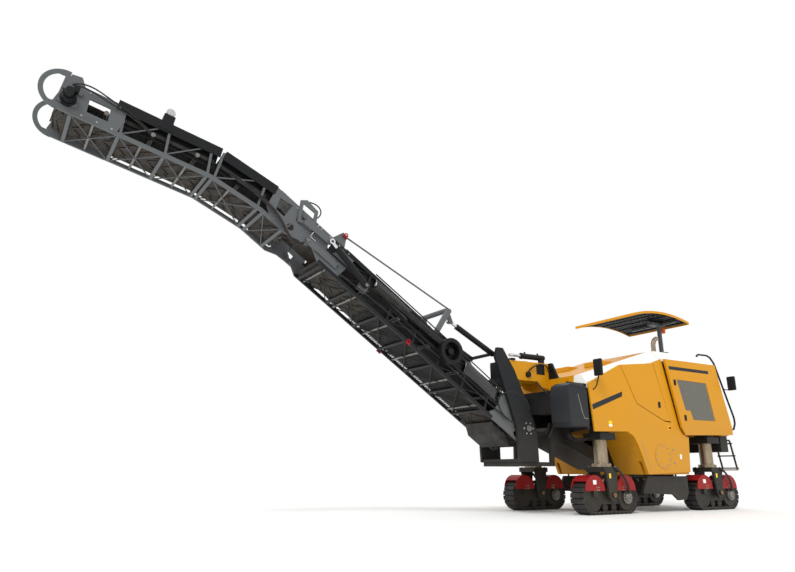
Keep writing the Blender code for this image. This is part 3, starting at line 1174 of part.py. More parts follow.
def stay_beam():
    """The arched beam over the conveyor, with the two stays that hold the conveyor's middle."""
    u = (BEAM_X - SLEW_X) * COS + (BEAM_Z - LUFF_Z) * SIN
    w = -(BEAM_X - SLEW_X) * SIN + (BEAM_Z - LUFF_Z) * COS
    post_y = CONVEYOR_HALF_WIDTH - SIDE_THICK
    outline = [(u - 0.04, TOP_W + GAP), (u + 0.04, TOP_W + GAP), (u + 0.04, w), (u - 0.04, w)]
    beam = slab("stay_beam", placed(outline), post_y - 0.02, CONVEYOR_HALF_WIDTH)
    join(beam, slab("right_post", placed(outline), -CONVEYOR_HALF_WIDTH, 0.02 - post_y))
    arch = [(BEAM_X, -0.42, BEAM_Z - 0.03), (BEAM_X, -0.3, BEAM_Z), (BEAM_X, 0.3, BEAM_Z), (BEAM_X, 0.42, BEAM_Z - 0.03)]
    join(beam, pipe("arch", arch, 0.045, 3))
    for side in (-1, 1):
        lug_y = sorted((side * (LUFF_CYLINDER_Y + EYE_HALF + 0.006), side * (LUFF_CYLINDER_Y + EYE_HALF + 0.031)))
        lug = [(LUFF_EYE_X - 0.05, LUFF_EYE_Z - 0.04), (LUFF_EYE_X + 0.03, LUFF_EYE_Z - 0.06), (BEAM_X + 0.03, BEAM_Z), (BEAM_X - 0.04, BEAM_Z + 0.01)]
        join(beam, slab("luff_lug", lug, *lug_y))
    for side in (-1, 1):
        y = side * (0.40 - STAY_RADIUS - GAP)
        join(beam, pipe("stay", [(BEAM_X - 0.02, y, BEAM_Z + 0.01), (STAY_END_X, y, STAY_END_Z)], STAY_RADIUS, 2))
    carry(luff, paint(beam, GREY))


def dust_fan():
    """The dust extraction fan and its duct, on the lower section's left side."""
    x, z = 2.99, 2.62
    face = CONVEYOR_HALF_WIDTH + GAP
    fan = bar("dust_fan", (x, face, z), (x, face + 0.13, z), 0.22)
    cut(fan, bar("fan_mouth", (x, face + 0.06, z), (x, face + 0.2, z), 0.15))
    first, second = at(2.15, 0.10), at(3.70, 0.03)
    y = face + 0.05
    join(fan, pipe("dust_duct", [(first[0], y, first[1]), (second[0], y, second[1])], 0.05, 3))
    carry(luff, paint(fan, BLACK))


fold_pivot = pivot("conveyor_fold", (at(FOLD_U, FOLD_W)[0], 0, at(FOLD_U, FOLD_W)[1]), luff)
lower_conveyor()
cover("conveyor_cover_lower", (2.75, TOP_W + GAP), CONVEYOR_SLOPE, 1.65, luff)
front_conveyor(fold_pivot)
stay_beam()
dust_fan()

fold_foot, fold_eye = at(FOLD_FOOT_U, FOLD_FOOT_W), at(FOLD_EYE_U, FOLD_EYE_W)
fold_turn = pivot("fold_cylinder_pivot", (fold_foot[0], 0, fold_foot[1]), luff)
fold_slide = pivot("fold_cylinder_slide", (fold_eye[0], 0, fold_eye[1]), fold_turn)
for side_label, side_sign in (("left", 1), ("right", -1)):
    cylinder(f"fold_cylinder_{side_label}", fold_foot, fold_eye, side_sign * FOLD_CYLINDER_Y, 0.86, fold_turn, fold_slide)

# ---------------------------------------------------------------- place the machine
REAR_REACH_X = -3.86
origin.location = (-(HOOP_FRONT_X + REAR_REACH_X) / 2, 0, 0)
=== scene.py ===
"""Looks of a tracked cold planer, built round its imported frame. Metres, +X forward, +Y left, +Z up."""

import json
import math

import bmesh
import bpy
from mathutils import Matrix, Vector


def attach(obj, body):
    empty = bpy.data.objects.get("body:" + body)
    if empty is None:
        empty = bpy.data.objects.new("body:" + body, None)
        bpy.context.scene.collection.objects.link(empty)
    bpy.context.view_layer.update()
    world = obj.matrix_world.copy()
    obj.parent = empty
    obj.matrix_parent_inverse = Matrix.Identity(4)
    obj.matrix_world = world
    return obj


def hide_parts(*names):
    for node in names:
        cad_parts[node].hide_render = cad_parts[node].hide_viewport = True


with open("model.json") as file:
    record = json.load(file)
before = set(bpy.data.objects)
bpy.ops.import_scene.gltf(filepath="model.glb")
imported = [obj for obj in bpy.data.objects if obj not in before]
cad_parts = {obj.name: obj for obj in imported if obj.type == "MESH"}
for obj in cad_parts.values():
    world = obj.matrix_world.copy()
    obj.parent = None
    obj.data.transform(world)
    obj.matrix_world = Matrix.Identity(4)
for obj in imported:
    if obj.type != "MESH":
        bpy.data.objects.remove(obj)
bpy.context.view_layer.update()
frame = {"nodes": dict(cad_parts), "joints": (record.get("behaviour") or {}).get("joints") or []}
joints = {joint["name"]: joint for joint in frame["joints"]}

# ---------------------------------------------------------------- camera, light and floor
# A plain pale floor under an even white sky, with one soft key light from the front left, as in a studio.
# The camera stands low in front of the machine's left side, at the height of a crouching person.
camera_data = bpy.data.cameras.new("camera")
camera_data.sensor_width = 36.0
camera_data.lens = 29.72
camera_data.shift_x = 0.0508
camera_data.shift_y = 0.0218
camera = bpy.data.objects.new("camera", camera_data)
bpy.context.scene.collection.objects.link(camera)
bpy.context.scene.camera = camera
camera.location = (6.774, 8.987, 0.701)
camera.rotation_mode = "QUATERNION"
camera.rotation_quaternion = Vector((-0.48122, -0.84045, 0.24915)).to_track_quat("-Z", "Y")

scene = bpy.context.scene
scene.view_settings.view_transform = "Standard"
world = bpy.data.worlds.new("white_sky")
scene.world = world
world.use_nodes = True
world.node_tree.nodes["Background"].inputs["Color"].default_value = (1.0, 1.0, 1.0, 1.0)
world.node_tree.nodes["Background"].inputs["Strength"].default_value = 1.0
sun_data = bpy.data.lights.new("key", "SUN")
sun_data.energy = 1.3
sun_data.angle = math.radians(12)
sun = bpy.data.objects.new("key", sun_data)
scene.collection.objects.link(sun)
sun.rotation_mode = "QUATERNION"
sun.rotation_quaternion = Vector((-0.62, -0.45, -0.75)).to_track_quat("-Z", "Y")


def linear(hex_colour):
    """An sRGB hex colour as linear RGBA."""
    parts = [int(hex_colour[place : place + 2], 16) / 255 for place in (1, 3, 5)]
    return (*[p / 12.92 if p <= 0.04045 else ((p + 0.055) / 1.055) ** 2.4 for p in parts], 1.0)


def add(tree, kind, settings=None, links=None):
    """A node with its settings and the links into it."""
    made = tree.nodes.new(kind)
    for name, value in (settings or {}).items():
        if name in made.inputs:
            made.inputs[name].default_value = value
        else:
            setattr(made, name, value)
    for name, source in (links or {}).items():
        tree.links.new(source, made.inputs[name])
    return made


def new_material(name):
    """An empty material, its shader and its Object coordinates."""
    made = bpy.data.materials.new(name)
    made.use_nodes = True
    tree = made.node_tree
    return made, tree, tree.nodes["Principled BSDF"], add(tree, "ShaderNodeTexCoord").outputs["Object"]


def bump_from(tree, shader, height, strength, distance):
    """Relief on the shader from a height pattern; the distance is its depth in metres."""
    relief = add(tree, "ShaderNodeBump", {"Strength": strength, "Distance": distance}, {"Height": height})
    tree.links.new(relief.outputs["Normal"], shader.inputs["Normal"])


floor_mesh = bpy.data.meshes.new("floor")
floor_shape = bmesh.new()
bmesh.ops.create_grid(floor_shape, x_segments=1, y_segments=1, size=400)
floor_shape.to_mesh(floor_mesh)
floor_shape.free()
floor = bpy.data.objects.new("floor", floor_mesh)
scene.collection.objects.link(floor)
# matt pale paint
FLOOR_PAINT, _, floor_shader, _ = new_material("pale_floor")
floor_shader.inputs["Base Color"].default_value = linear("#f4f4f2")
floor_shader.inputs["Roughness"].default_value = 0.9
floor_mesh.materials.append(FLOOR_PAINT)


# ---------------------------------------------------------------- the frame's own solids
# Steel fabrications that the frame already has in their true shape. They only take their finish here.
# Each is painted by its use: black under the body and yellow on the outside. The white on the platform and
# the front hood is a painted reflection of the white sky.
def enamel(name, colour, roughness, dust, peel=0.0004):
    """Sprayed two-pack paint: satin, with a faint orange peel, and road dust towards the ground."""
    made, tree, shader, place = new_material(name)
    broad = add(
        tree, "ShaderNodeTexNoise", {"Scale": 1.6, "Detail": 6.0, "Roughness": 0.65}, {"Vector": place}
    )
    speck = add(
        tree, "ShaderNodeTexNoise", {"Scale": 38.0, "Detail": 4.0, "Roughness": 0.7}, {"Vector": place}
    )
    height = add(tree, "ShaderNodeSeparateXYZ", None, {"Vector": place})
    low = add(
        tree,
        "ShaderNodeMapRange",
        {"From Min": 0.1, "From Max": 2.4, "To Min": 1.0, "To Max": 0.12},
        {"Value": height.outputs["Z"]},
    )
    patch = add(tree, "ShaderNodeMath", {"operation": "MULTIPLY"}, None)
    tree.links.new(broad.outputs["Fac"], patch.inputs[0])
    tree.links.new(low.outputs["Result"], patch.inputs[1])
    grain = add(tree, "ShaderNodeMath", {"operation": "MULTIPLY"}, None)
    tree.links.new(patch.outputs[0], grain.inputs[0])
    tree.links.new(speck.outputs["Fac"], grain.inputs[1])
    share = add(
        tree,
        "ShaderNodeMapRange",
        {"From Min": 0.05, "From Max": 0.42, "To Min": 0.0, "To Max": dust},
        {"Value": grain.outputs[0]},
    )
    tint = add(tree, "ShaderNodeMix", {"data_type": "RGBA"}, None)
    tint.inputs[6].default_value = linear(colour)
    tint.inputs[7].default_value = linear("#8f826c")
    tree.links.new(share.outputs["Result"], tint.inputs[0])
    tree.links.new(tint.outputs[2], shader.inputs["Base Color"])
    gloss = add(
        tree,
        "ShaderNodeMapRange",
        {"To Min": roughness - 0.05, "To Max": roughness + 0.16},
        {"Value": speck.outputs["Fac"]},
    )
    tree.links.new(gloss.outputs["Result"], shader.inputs["Roughness"])
    shader.inputs["Specular IOR Level"].default_value = 0.2
    peel_noise = add(tree, "ShaderNodeTexNoise", {"Scale": 420.0, "Detail": 2.0}, {"Vector": place})
    bump_from(tree, shader, peel_noise.outputs["Fac"], 0.25, peel)
    return made


def metal(name, colour, roughness, stain, stain_colour, stretch):
    """Bare metal with stains: stretch scales the stain pattern along each axis."""
    made, tree, shader, place = new_material(name)
    mapped = add(tree, "ShaderNodeMapping", {"Scale": stretch}, {"Vector": place})
    smear = add(
        tree,
        "ShaderNodeTexNoise",
        {"Scale": 9.0, "Detail": 7.0, "Roughness": 0.7},
        {"Vector": mapped.outputs[0]},
    )
    share = add(
        tree,
        "ShaderNodeMapRange",
        {"From Min": 0.38, "From Max": 0.72, "To Max": stain},
        {"Value": smear.outputs["Fac"]},
    )
    tint = add(tree, "ShaderNodeMix", {"data_type": "RGBA"}, None)
    tint.inputs[6].default_value = linear(colour)
    tint.inputs[7].default_value = linear(stain_colour)
    tree.links.new(share.outputs["Result"], tint.inputs[0])
    tree.links.new(tint.outputs[2], shader.inputs["Base Color"])
    shader.inputs["Metallic"].default_value = 1.0
    gloss = add(
        tree,
        "ShaderNodeMapRange",
        {"To Min": max(roughness - 0.06, 0.04), "To Max": roughness + 0.2},
        {"Value": smear.outputs["Fac"]},
    )
    tree.links.new(gloss.outputs["Result"], shader.inputs["Roughness"])
    bump_from(tree, shader, smear.outputs["Fac"], 0.2, 0.0006)
    return made


def moulded_rubber(name, colour, roughness, grain, dust):
    """Carbon-black rubber with a fine moulded grain and dust lying on it."""
    made, tree, shader, place = new_material(name)
    dusty = add(
        tree, "ShaderNodeTexNoise", {"Scale": 7.0, "Detail": 8.0, "Roughness": 0.7}, {"Vector": place}
    )
    share = add(
        tree,
        "ShaderNodeMapRange",
        {"From Min": 0.42, "From Max": 0.75, "To Max": dust},
        {"Value": dusty.outputs["Fac"]},
    )
    tint = add(tree, "ShaderNodeMix", {"data_type": "RGBA"}, None)
    tint.inputs[6].default_value = linear(colour)
    tint.inputs[7].default_value = linear("#6d6254")
    tree.links.new(share.outputs["Result"], tint.inputs[0])
    tree.links.new(tint.outputs[2], shader.inputs["Base Color"])
    shader.inputs["Roughness"].default_value = roughness
    shader.inputs["Specular IOR Level"].default_value = 0.35
    fine = add(tree, "ShaderNodeTexNoise", {"Scale": grain, "Detail": 5.0}, {"Vector": place})
    bump_from(tree, shader, fine.outputs["Fac"], 0.5, 0.0012)
    return made


# outside sheets, rear body and canopy
YELLOW = enamel("yellow_enamel", "#cf8f0e", 0.30, 0.25)
# the conveyor's roof sheets, and a painted reflection of the white sky on the platform and the front hood
WHITE = enamel("white_enamel", "#eeeeea", 0.36, 0.22)
# moulded front covers, the console and the stripes
SLATE = enamel("slate_enamel", "#22252a", 0.36, 0.15)
# castings and plates under the body, rails, latches and mirrors
BLACK = enamel("black_enamel", "#141517", 0.40, 0.2)
# front conveyor section, fold plates and the canopy's post
FRAME_GREY = enamel("grey_enamel", "#5b5e60", 0.42, 0.35)
# slew bracket and the lower conveyor section's truss
GRAPHITE = enamel("graphite_enamel", "#1b1d20", 0.42, 0.15)
# turned leg columns and the exhaust, browned by oil and heat
COLUMN_STEEL = metal("oiled_column_steel", "#a89a84", 0.36, 0.8, "#5d4a34", (6.0, 6.0, 0.5))
# hydraulic rods and mirror glass
CHROME = metal("hard_chrome", "#d6d8da", 0.10, 0.1, "#9a9a98", (1.0, 1.0, 1.0))
# the belts and their moulded ribs, brown with asphalt dust
BELT = moulded_rubber("belt_rubber", "#211c18", 0.66, 90.0, 0.32)


def finish_node(name, material):
    """Gives one of the frame's own solids its finish."""
    node = frame["nodes"][name]
    node.data.materials.clear()
    node.data.materials.append(material)


CAD_FINISHES = {
    "main_frame": BLACK,
    "drum_housing": YELLOW,
    "rear_body": YELLOW,
    # the platform's white is a painted reflection of the white sky
    "platform": WHITE,
    "engine_block": FRAME_GREY,
    "front_bulkhead": BLACK,
    "primary_conveyor_frame": BLACK,
    "primary_belt": BELT,
    "scraper_blade": BLACK,
    "side_plate_left": BLACK,
    "side_plate_right": BLACK,
    "slew_bracket": GRAPHITE,
    "slew_cylinder_rod": CHROME,
    "stay_beam": FRAME_GREY,
    "exhaust_pipe": COLUMN_STEEL,
    "control_console": SLATE,
    "belt_lower": BELT,
    "belt_front": BELT,
}
for node_name, node_finish in CAD_FINISHES.items():
    finish_node(node_name, node_finish)
for cylinder_name in (
    "luff_cylinder_left", "luff_cylinder_right", "fold_cylinder_left", "fold_cylinder_right"
):
    finish_node(cylinder_name + "_barrel", BLACK)
    finish_node(cylinder_name + "_rod", CHROME)


# ---------------------------------------------------------------- legs and track units
# Each leg is a turned steel column over a forged fork. The crawler chain carries moulded rubber pads on
# steel shoes, and red plate guards are bolted over both ends. The unit turns on a pin through the fork.
def piece(name, shape, body, material, bevel=0.0, segments=2, smooth=35):
    """Makes the finished shape an object that rides on a body."""
    bmesh.ops.recalc_face_normals(shape, faces=shape.faces)
    mesh = bpy.data.meshes.new(name)
    shape.to_mesh(mesh)
    shape.free()
    mesh.shade_smooth()
    mesh.set_sharp_from_angle(angle=math.radians(smooth))
    mesh.materials.append(material)
    obj = bpy.data.objects.new(name, mesh)
    scene.collection.objects.link(obj)
    if bevel:
        rounding = obj.modifiers.new("rounding", "BEVEL")
        rounding.width = bevel
        rounding.segments = segments
        rounding.limit_method = "ANGLE"
        rounding.angle_limit = math.radians(40)
        rounding.harden_normals = True
    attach(obj, body)
    return obj


def block(shape, x, y, z, turn=None):
    """A box from its limits; turn is a matrix applied after it is in place."""
    size = Matrix.Diagonal((x[1] - x[0], y[1] - y[0], z[1] - z[0], 1.0))
    middle = Matrix.Translation(((x[0] + x[1]) / 2, (y[0] + y[1]) / 2, (z[0] + z[1]) / 2))
    bmesh.ops.create_cube(shape, size=1.0, matrix=(turn or Matrix()) @ middle @ size)


def rod(shape, start, end, radius, sides=20, end_radius=None):
    """A round bar or cone between two points."""
    start, end = Vector(start), Vector(end)
    turn = Vector((0, 0, 1)).rotation_difference(end - start).to_matrix().to_4x4()
    bmesh.ops.create_cone(
        shape,
        cap_ends=True,
        segments=sides,
        radius1=radius,
        radius2=radius if end_radius is None else end_radius,
        depth=(end - start).length,
        matrix=Matrix.Translation((start + end) / 2) @ turn,
    )


ALONG = {"X": Vector((1, 0, 0)), "Y": Vector((0, 1, 0)), "Z": Vector((0, 0, 1))}


def plate(shape, outline, low, high, facing="Y", turn=None):
    """A flat outline drawn square to an axis and extruded from low to high along it."""
    corners = []
    for a, b in outline:
        place = {"X": (low, a, b), "Y": (a, low, b), "Z": (a, b, low)}[facing]
        corners.append(shape.verts.new((turn or Matrix()) @ Vector(place)))
    face = shape.faces.new(corners)
    step = ALONG[facing] * (high - low)
    if turn:
        step = turn.to_3x3() @ step
    grown = bmesh.ops.extrude_face_region(shape, geom=[face])
    raised = [item for item in grown["geom"] if isinstance(item, bmesh.types.BMVert)]
    bmesh.ops.translate(shape, verts=raised, vec=step)


def arc(centre, radius, start, end, steps):
    """Points round a circle in an outline; the angles are in degrees."""
    found = []
    for step in range(steps + 1):
        angle = math.radians(start + (end - start) * step / steps)
        found.append((centre[0] + radius * math.cos(angle), centre[1] + radius * math.sin(angle)))
    return found


def bolts(shape, places, facing, out, radius=0.011, height=0.009):
    """Hexagon heads on washers, standing out along the axis by the sign of out."""
    step = ALONG[facing] * out
    for place in places:
        foot = Vector(place)
        rod(shape, foot, foot + step * height * 0.25, radius * 1.35, 12)
        rod(shape, foot, foot + step * height, radius, 6)


def route(turn, *points):
    """The points of a hose's or tube's run, taken from its carrier's own frame."""
    return [turn @ Vector(point) for point in points]


def hoses(name, runs, radius, body, material, order=4):
    """Bent tubes of one size, each through its own points."""
    data = bpy.data.curves.new(name, "CURVE")
    data.dimensions = "3D"
    data.bevel_depth = radius
    data.bevel_resolution = 3
    data.resolution_u = 8
    data.use_fill_caps = True
    for run in runs:
        spline = data.splines.new("NURBS")
        spline.points.add(len(run) - 1)
        for point, place in zip(spline.points, run):
            point.co = (*place, 1.0)
        spline.order_u = min(order, len(run))
        spline.use_endpoint_u = True
    data.materials.append(material)
    obj = bpy.data.objects.new(name, data)
    scene.collection.objects.link(obj)
    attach(obj, body)
    return obj


# chain pads and the tail skirt
RUBBER = moulded_rubber("track_rubber", "#18191b", 0.60, 160.0, 0.3)
# hydraulic hoses, the fan's duct and the energy chain
HOSE = moulded_rubber("hose_rubber", "#161616", 0.45, 300.0, 0.2)
# track shoes and the milling drum, scoured by the ground
CAST_IRON = metal("scoured_cast_iron", "#6b6660", 0.55, 0.8, "#3f2f24", (3.0, 3.0, 3.0))
# hubs, rollers and pins
STEEL = metal("worn_steel", "#8d8c88", 0.42, 0.7, "#4a4038", (2.0, 2.0, 2.0))
# every bolt head, the covers' trim and the grille's wires
ZINC = metal("zinc_plated_bolts", "#b9b8b0", 0.32, 0.4, "#7c7464", (8.0, 8.0, 8.0))
# caps of the track units' pivots
BRASS = metal("greased_bronze", "#a5865a", 0.35, 0.6, "#5a4a34", (5.0, 5.0, 5.0))
# track guards, lifting eyes, valves and stop buttons
RED = enamel("red_enamel", "#900a10", 0.36, 0.08)
# blank printed labels
LABEL_YELLOW = enamel("yellow_label", "#f4cf2a", 0.30, 0.05)
LABEL_WHITE = enamel("white_label", "#f2f2ee", 0.30, 0.05)


TRACK_END = 0.273
TRACK_HALF = 0.417
TRACK_HALF_WIDTH = 0.14
PAD_COUNT = 34
PAD_DEPTH = 0.034
SHOE_DEPTH = 0.018
GUARD_PLACE = 0.39
GUARD_CENTRE_Z = 0.416
GUARD_RADIUS = 0.238
GUARD_FOOT_Z = GUARD_CENTRE_Z - 0.024
GUARD_INNER = TRACK_HALF_WIDTH + 0.006
GUARD_OUTER = TRACK_HALF_WIDTH + 0.022


def on_track(distance):
    """Place, height and turn of a point that far round the loop, from the middle of its ground run."""
    straight = 2 * TRACK_HALF
    curve = math.pi * TRACK_END
    distance %= 2 * (straight + curve)
    if distance < straight / 2:
        return distance, 0.0, 0.0
    distance -= straight / 2
    if distance < curve:
        angle = distance / TRACK_END
        return TRACK_HALF + TRACK_END * math.sin(angle), TRACK_END * (1 - math.cos(angle)), angle
    distance -= curve
    if distance < straight:
        return TRACK_HALF - distance, 2 * TRACK_END, math.pi
    distance -= straight
    if distance < curve:
        angle = distance / TRACK_END
        return -TRACK_HALF - TRACK_END * math.sin(angle), TRACK_END * (1 + math.cos(angle)), math.pi + angle
    distance -= curve
    return -TRACK_HALF + distance, 0.0, 0.0


def crawler(corner, x, y):
    """One track unit and the bolts of its column: pads, shoes, guards, hubs, pivot caps, hoses and labels."""
    body = f"track_unit_{corner}"
    pads = bmesh.new()
    shoes = bmesh.new()
    pitch = 2 * (2 * TRACK_HALF + math.pi * TRACK_END) / PAD_COUNT
    for number in range(PAD_COUNT):
        along, height, angle = on_track(number * pitch)
        turn = Matrix.Translation((x + along, y, height)) @ Matrix.Rotation(-angle, 4, "Y")
        half = pitch / 2
        pad_x = (-half + 0.008, half - 0.008)
        block(pads, pad_x, (-TRACK_HALF_WIDTH, TRACK_HALF_WIDTH), (0.0, PAD_DEPTH), turn)
        shoe_z = (PAD_DEPTH, PAD_DEPTH + SHOE_DEPTH)
        block(shoes, (-half + 0.003, half - 0.003), (-0.13, 0.13), shoe_z, turn)
        for side in (-1, 1):
            pin = [turn @ Vector((half, side * reach, 0.058)) for reach in (0.06, 0.1)]
            rod(shoes, *pin, 0.014, 10)
    pads_piece = piece(f"track_pads_{corner}", pads, body, RUBBER, 0.007)
    piece(f"track_shoes_{corner}", shoes, body, CAST_IRON, 0.003, 1)
    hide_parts(f"track_{corner}")

    guards = bmesh.new()
    heads = bmesh.new()
    for end in (-1, 1):
        centre = (x + end * GUARD_PLACE, GUARD_CENTRE_Z)
        for side in (-1, 1):
            outline = arc(centre, GUARD_RADIUS, 0, 180, 16)
            outline += [(centre[0] + foot * GUARD_RADIUS, GUARD_FOOT_Z) for foot in (-1, 1)]
            plate(guards, outline, *sorted((y + side * GUARD_INNER, y + side * GUARD_OUTER)))
            places = []
            for a in (0.03, 0.08):
                for b in (-0.01, 0.035):
                    places.append((centre[0] - end * a, y + side * GUARD_OUTER, centre[1] + b))
            bolts(heads, places, "Y", side, 0.009)
        hood_start, hood_end = (35, 120) if end > 0 else (60, 145)
        outside = arc(centre, GUARD_RADIUS, hood_start, hood_end, 10)
        inside = arc(centre, GUARD_RADIUS - 0.01, hood_end, hood_start, 10)
        plate(guards, outside + inside, y - TRACK_HALF_WIDTH - 0.02, y + TRACK_HALF_WIDTH + 0.02)
    piece(f"track_guards_{corner}", guards, body, RED, 0.004)

    hub = bmesh.new()
    caps = bmesh.new()
    outer = 1 if y > 0 else -1
    hub_x = x - TRACK_HALF
    for side in (-1, 1):
        rod(hub, (hub_x, y + side * 0.10, TRACK_END), (hub_x, y + side * 0.155, TRACK_END), 0.108, 40)
        rod(hub, (hub_x, y + side * 0.15, TRACK_END), (hub_x, y + side * 0.175, TRACK_END), 0.075, 36)
        ring = [(a, y + side * 0.155, b) for a, b in arc((hub_x, TRACK_END), 0.088, 0, 330, 11)]
        bolts(heads, ring, "Y", side, 0.008, 0.008)
        reach = y + side * 0.224
        rod(caps, (x, reach, 0.32), (x, reach + side * 0.012, 0.32), 0.034, 28)
        rod(caps, (x, reach + side * 0.01, 0.32), (x, reach + side * 0.022, 0.32), 0.016, 6)
    for corner_x in (-0.13, 0.13):
        for corner_y in (-0.17, 0.17):
            bolts(heads, [(x + corner_x, y + corner_y, 0.79)], "Z", 1, 0.014, 0.012)
    piece(f"track_hubs_{corner}", hub, body, STEEL, 0.006)
    drive_hoses = []
    for offset in (0.0, 0.03):
        run = [
            (-0.06 - offset, 0.205, 0.77), (-0.12 - offset, 0.238, 0.74), (-0.26 - offset, 0.235, 0.62),
            (-0.38 - offset, 0.215, 0.44), (-0.41 - offset, 0.17, 0.34),
        ]
        drive_hoses.append([(x + a, y + outer * b, c) for a, b, c in run])
    hoses(f"drive_hoses_{corner}", drive_hoses, 0.012, body, HOSE)
    piece(f"pivot_caps_{corner}", caps, body, BRASS, 0.003)
    piece(f"track_bolts_{corner}", heads, body, ZINC)
    labels = bmesh.new()
    face = y + outer * 0.202
    low, high = sorted((face, face + outer * 0.002))
    block(labels, (x + 0.03, x + 0.075), (low, high), (0.60, 0.68))
    piece(f"fork_label_{corner}", labels, body, LABEL_YELLOW)
    tag = bmesh.new()
    low, high = sorted((y + outer * 0.162, y + outer * 0.1645))
    block(tag, (x + GUARD_PLACE - 0.03, x + GUARD_PLACE + 0.05), (low, high), (0.50, 0.57))
    piece(f"guard_label_{corner}", tag, body, LABEL_WHITE)
    finish_node(f"fork_{corner}", BLACK)
    finish_node(f"leg_column_{corner}", COLUMN_STEEL)

    heads = bmesh.new()
    for number in range(10):
        angle = number * math.tau / 10
        bolts(heads, [(x + 0.145 * math.cos(angle), y + 0.145 * math.sin(angle), 0.84)], "Z", 1, 0.011)
    piece(f"column_foot_bolts_{corner}", heads, f"leg_{corner}", ZINC)


for corner_name in ("front_left", "front_right", "rear_left", "rear_right"):
    leg_x, leg_y, _ = joints[f"steer_{corner_name}"]["pos_m"]
    crawler(corner_name, leg_x, leg_y)


# ---------------------------------------------------------------- side panels, doors and rear hoods
# Folded steel sheet in yellow enamel, bolted to the frame. The doors hang on hidden hinges and the rear
# hoods lift like wings. A wire grille is held behind each hood's opening, and latches are set in the sheet.
AT_LEGS = Matrix.Translation((joints["steer_front_left"]["pos_m"][0], 0.0, 0.0))
PANEL_FACE = 1.08
PANEL_BACK = 1.04
HOOD_FACE = 1.15
ARCH = [(-0.46, 1.40), (-0.62, 1.32), (-0.72, 1.16), (-0.80, 0.98), (-0.92, 0.66)]
PANEL_REAR = [(-2.12, 0.70), (-2.19, 1.34), (-2.02, 1.40), (-1.94, 1.50), (-1.62, 2.80), (-1.37, 2.71)]
PANEL_DOOR_EDGE = [(-1.715, 1.60), (-1.52, 1.62), (-0.79, 1.91), (-0.43, 2.60)]
DOOR = [(-0.442, 2.60), (-0.802, 1.916), (-1.52, 1.632), (-1.703, 1.624), (-1.358, 2.70)]
HOOD = [
    (-1.64, 2.795), (-1.93, 1.53), (-2.06, 1.375), (-3.58, 1.42), (-3.52, 1.56), (-3.34, 2.25), (-3.21, 2.795)
]
STRIPE_THICK = 0.0015
LABEL_THICK = 0.002
WIRE_RADIUS = 0.0062
WIRE_PITCH = 0.034
WIRES_EACH_WAY = 28
GRILLE = [(-1.93, 2.42), (-2.10, 1.84), (-2.24, 1.84), (-2.30, 1.67), (-3.00, 1.67), (-2.85, 2.40)]


def from_legs(x, y, z):
    """A point measured from the front legs' steering axes, at ground level on the middle plane."""
    return AT_LEGS @ Vector((x, y, z))


def pierced(shape, outline, holes, low, high, facing="Y", turn=None):
    """A flat plate with holes, drawn and extruded like plate."""
    edges = []
    for loop in (outline, *holes):
        ring = []
        for a, b in loop:
            place = {"X": (low, a, b), "Y": (a, low, b), "Z": (a, b, low)}[facing]
            ring.append(shape.verts.new((turn or Matrix()) @ Vector(place)))
        edges += [shape.edges.new((ring[n - 1], ring[n])) for n in range(len(ring))]
    filled = bmesh.ops.triangle_fill(shape, use_beauty=True, use_dissolve=False, edges=edges)
    faces = [item for item in filled["geom"] if isinstance(item, bmesh.types.BMFace)]
    step = ALONG[facing] * (high - low)
    if turn:
        step = turn.to_3x3() @ step
    grown = bmesh.ops.extrude_face_region(shape, geom=faces)
    raised = [item for item in grown["geom"] if isinstance(item, bmesh.types.BMVert)]
    bmesh.ops.translate(shape, verts=raised, vec=step)


def spans(outline, start, step):
    """Where a line lies inside an outline, as pairs of distances along its unit step."""
    found = []
    for (ax, az), (bx, bz) in zip(outline, outline[1:] + outline[:1]):
        across_a = (ax - start[0]) * step[1] - (az - start[1]) * step[0]
        across_b = (bx - start[0]) * step[1] - (bz - start[1]) * step[0]
        if (across_a > 0) == (across_b > 0):
            continue
        share = across_a / (across_a - across_b)
        x, z = ax + (bx - ax) * share, az + (bz - az) * share
        found.append((x - start[0]) * step[0] + (z - start[1]) * step[1])
    found.sort()
    return list(zip(found[::2], found[1::2]))


def latch(shape, x, z, face, side):
    """A flush pull latch: a rounded plate with a raised paddle."""
    for half_x, half_z, out in ((0.034, 0.055, 0.006), (0.020, 0.032, 0.014)):
        block(
            shape,
            (x - half_x, x + half_x),
            sorted((face, face + side * out)),
            (z - half_z, z + half_z),
            AT_LEGS,
        )


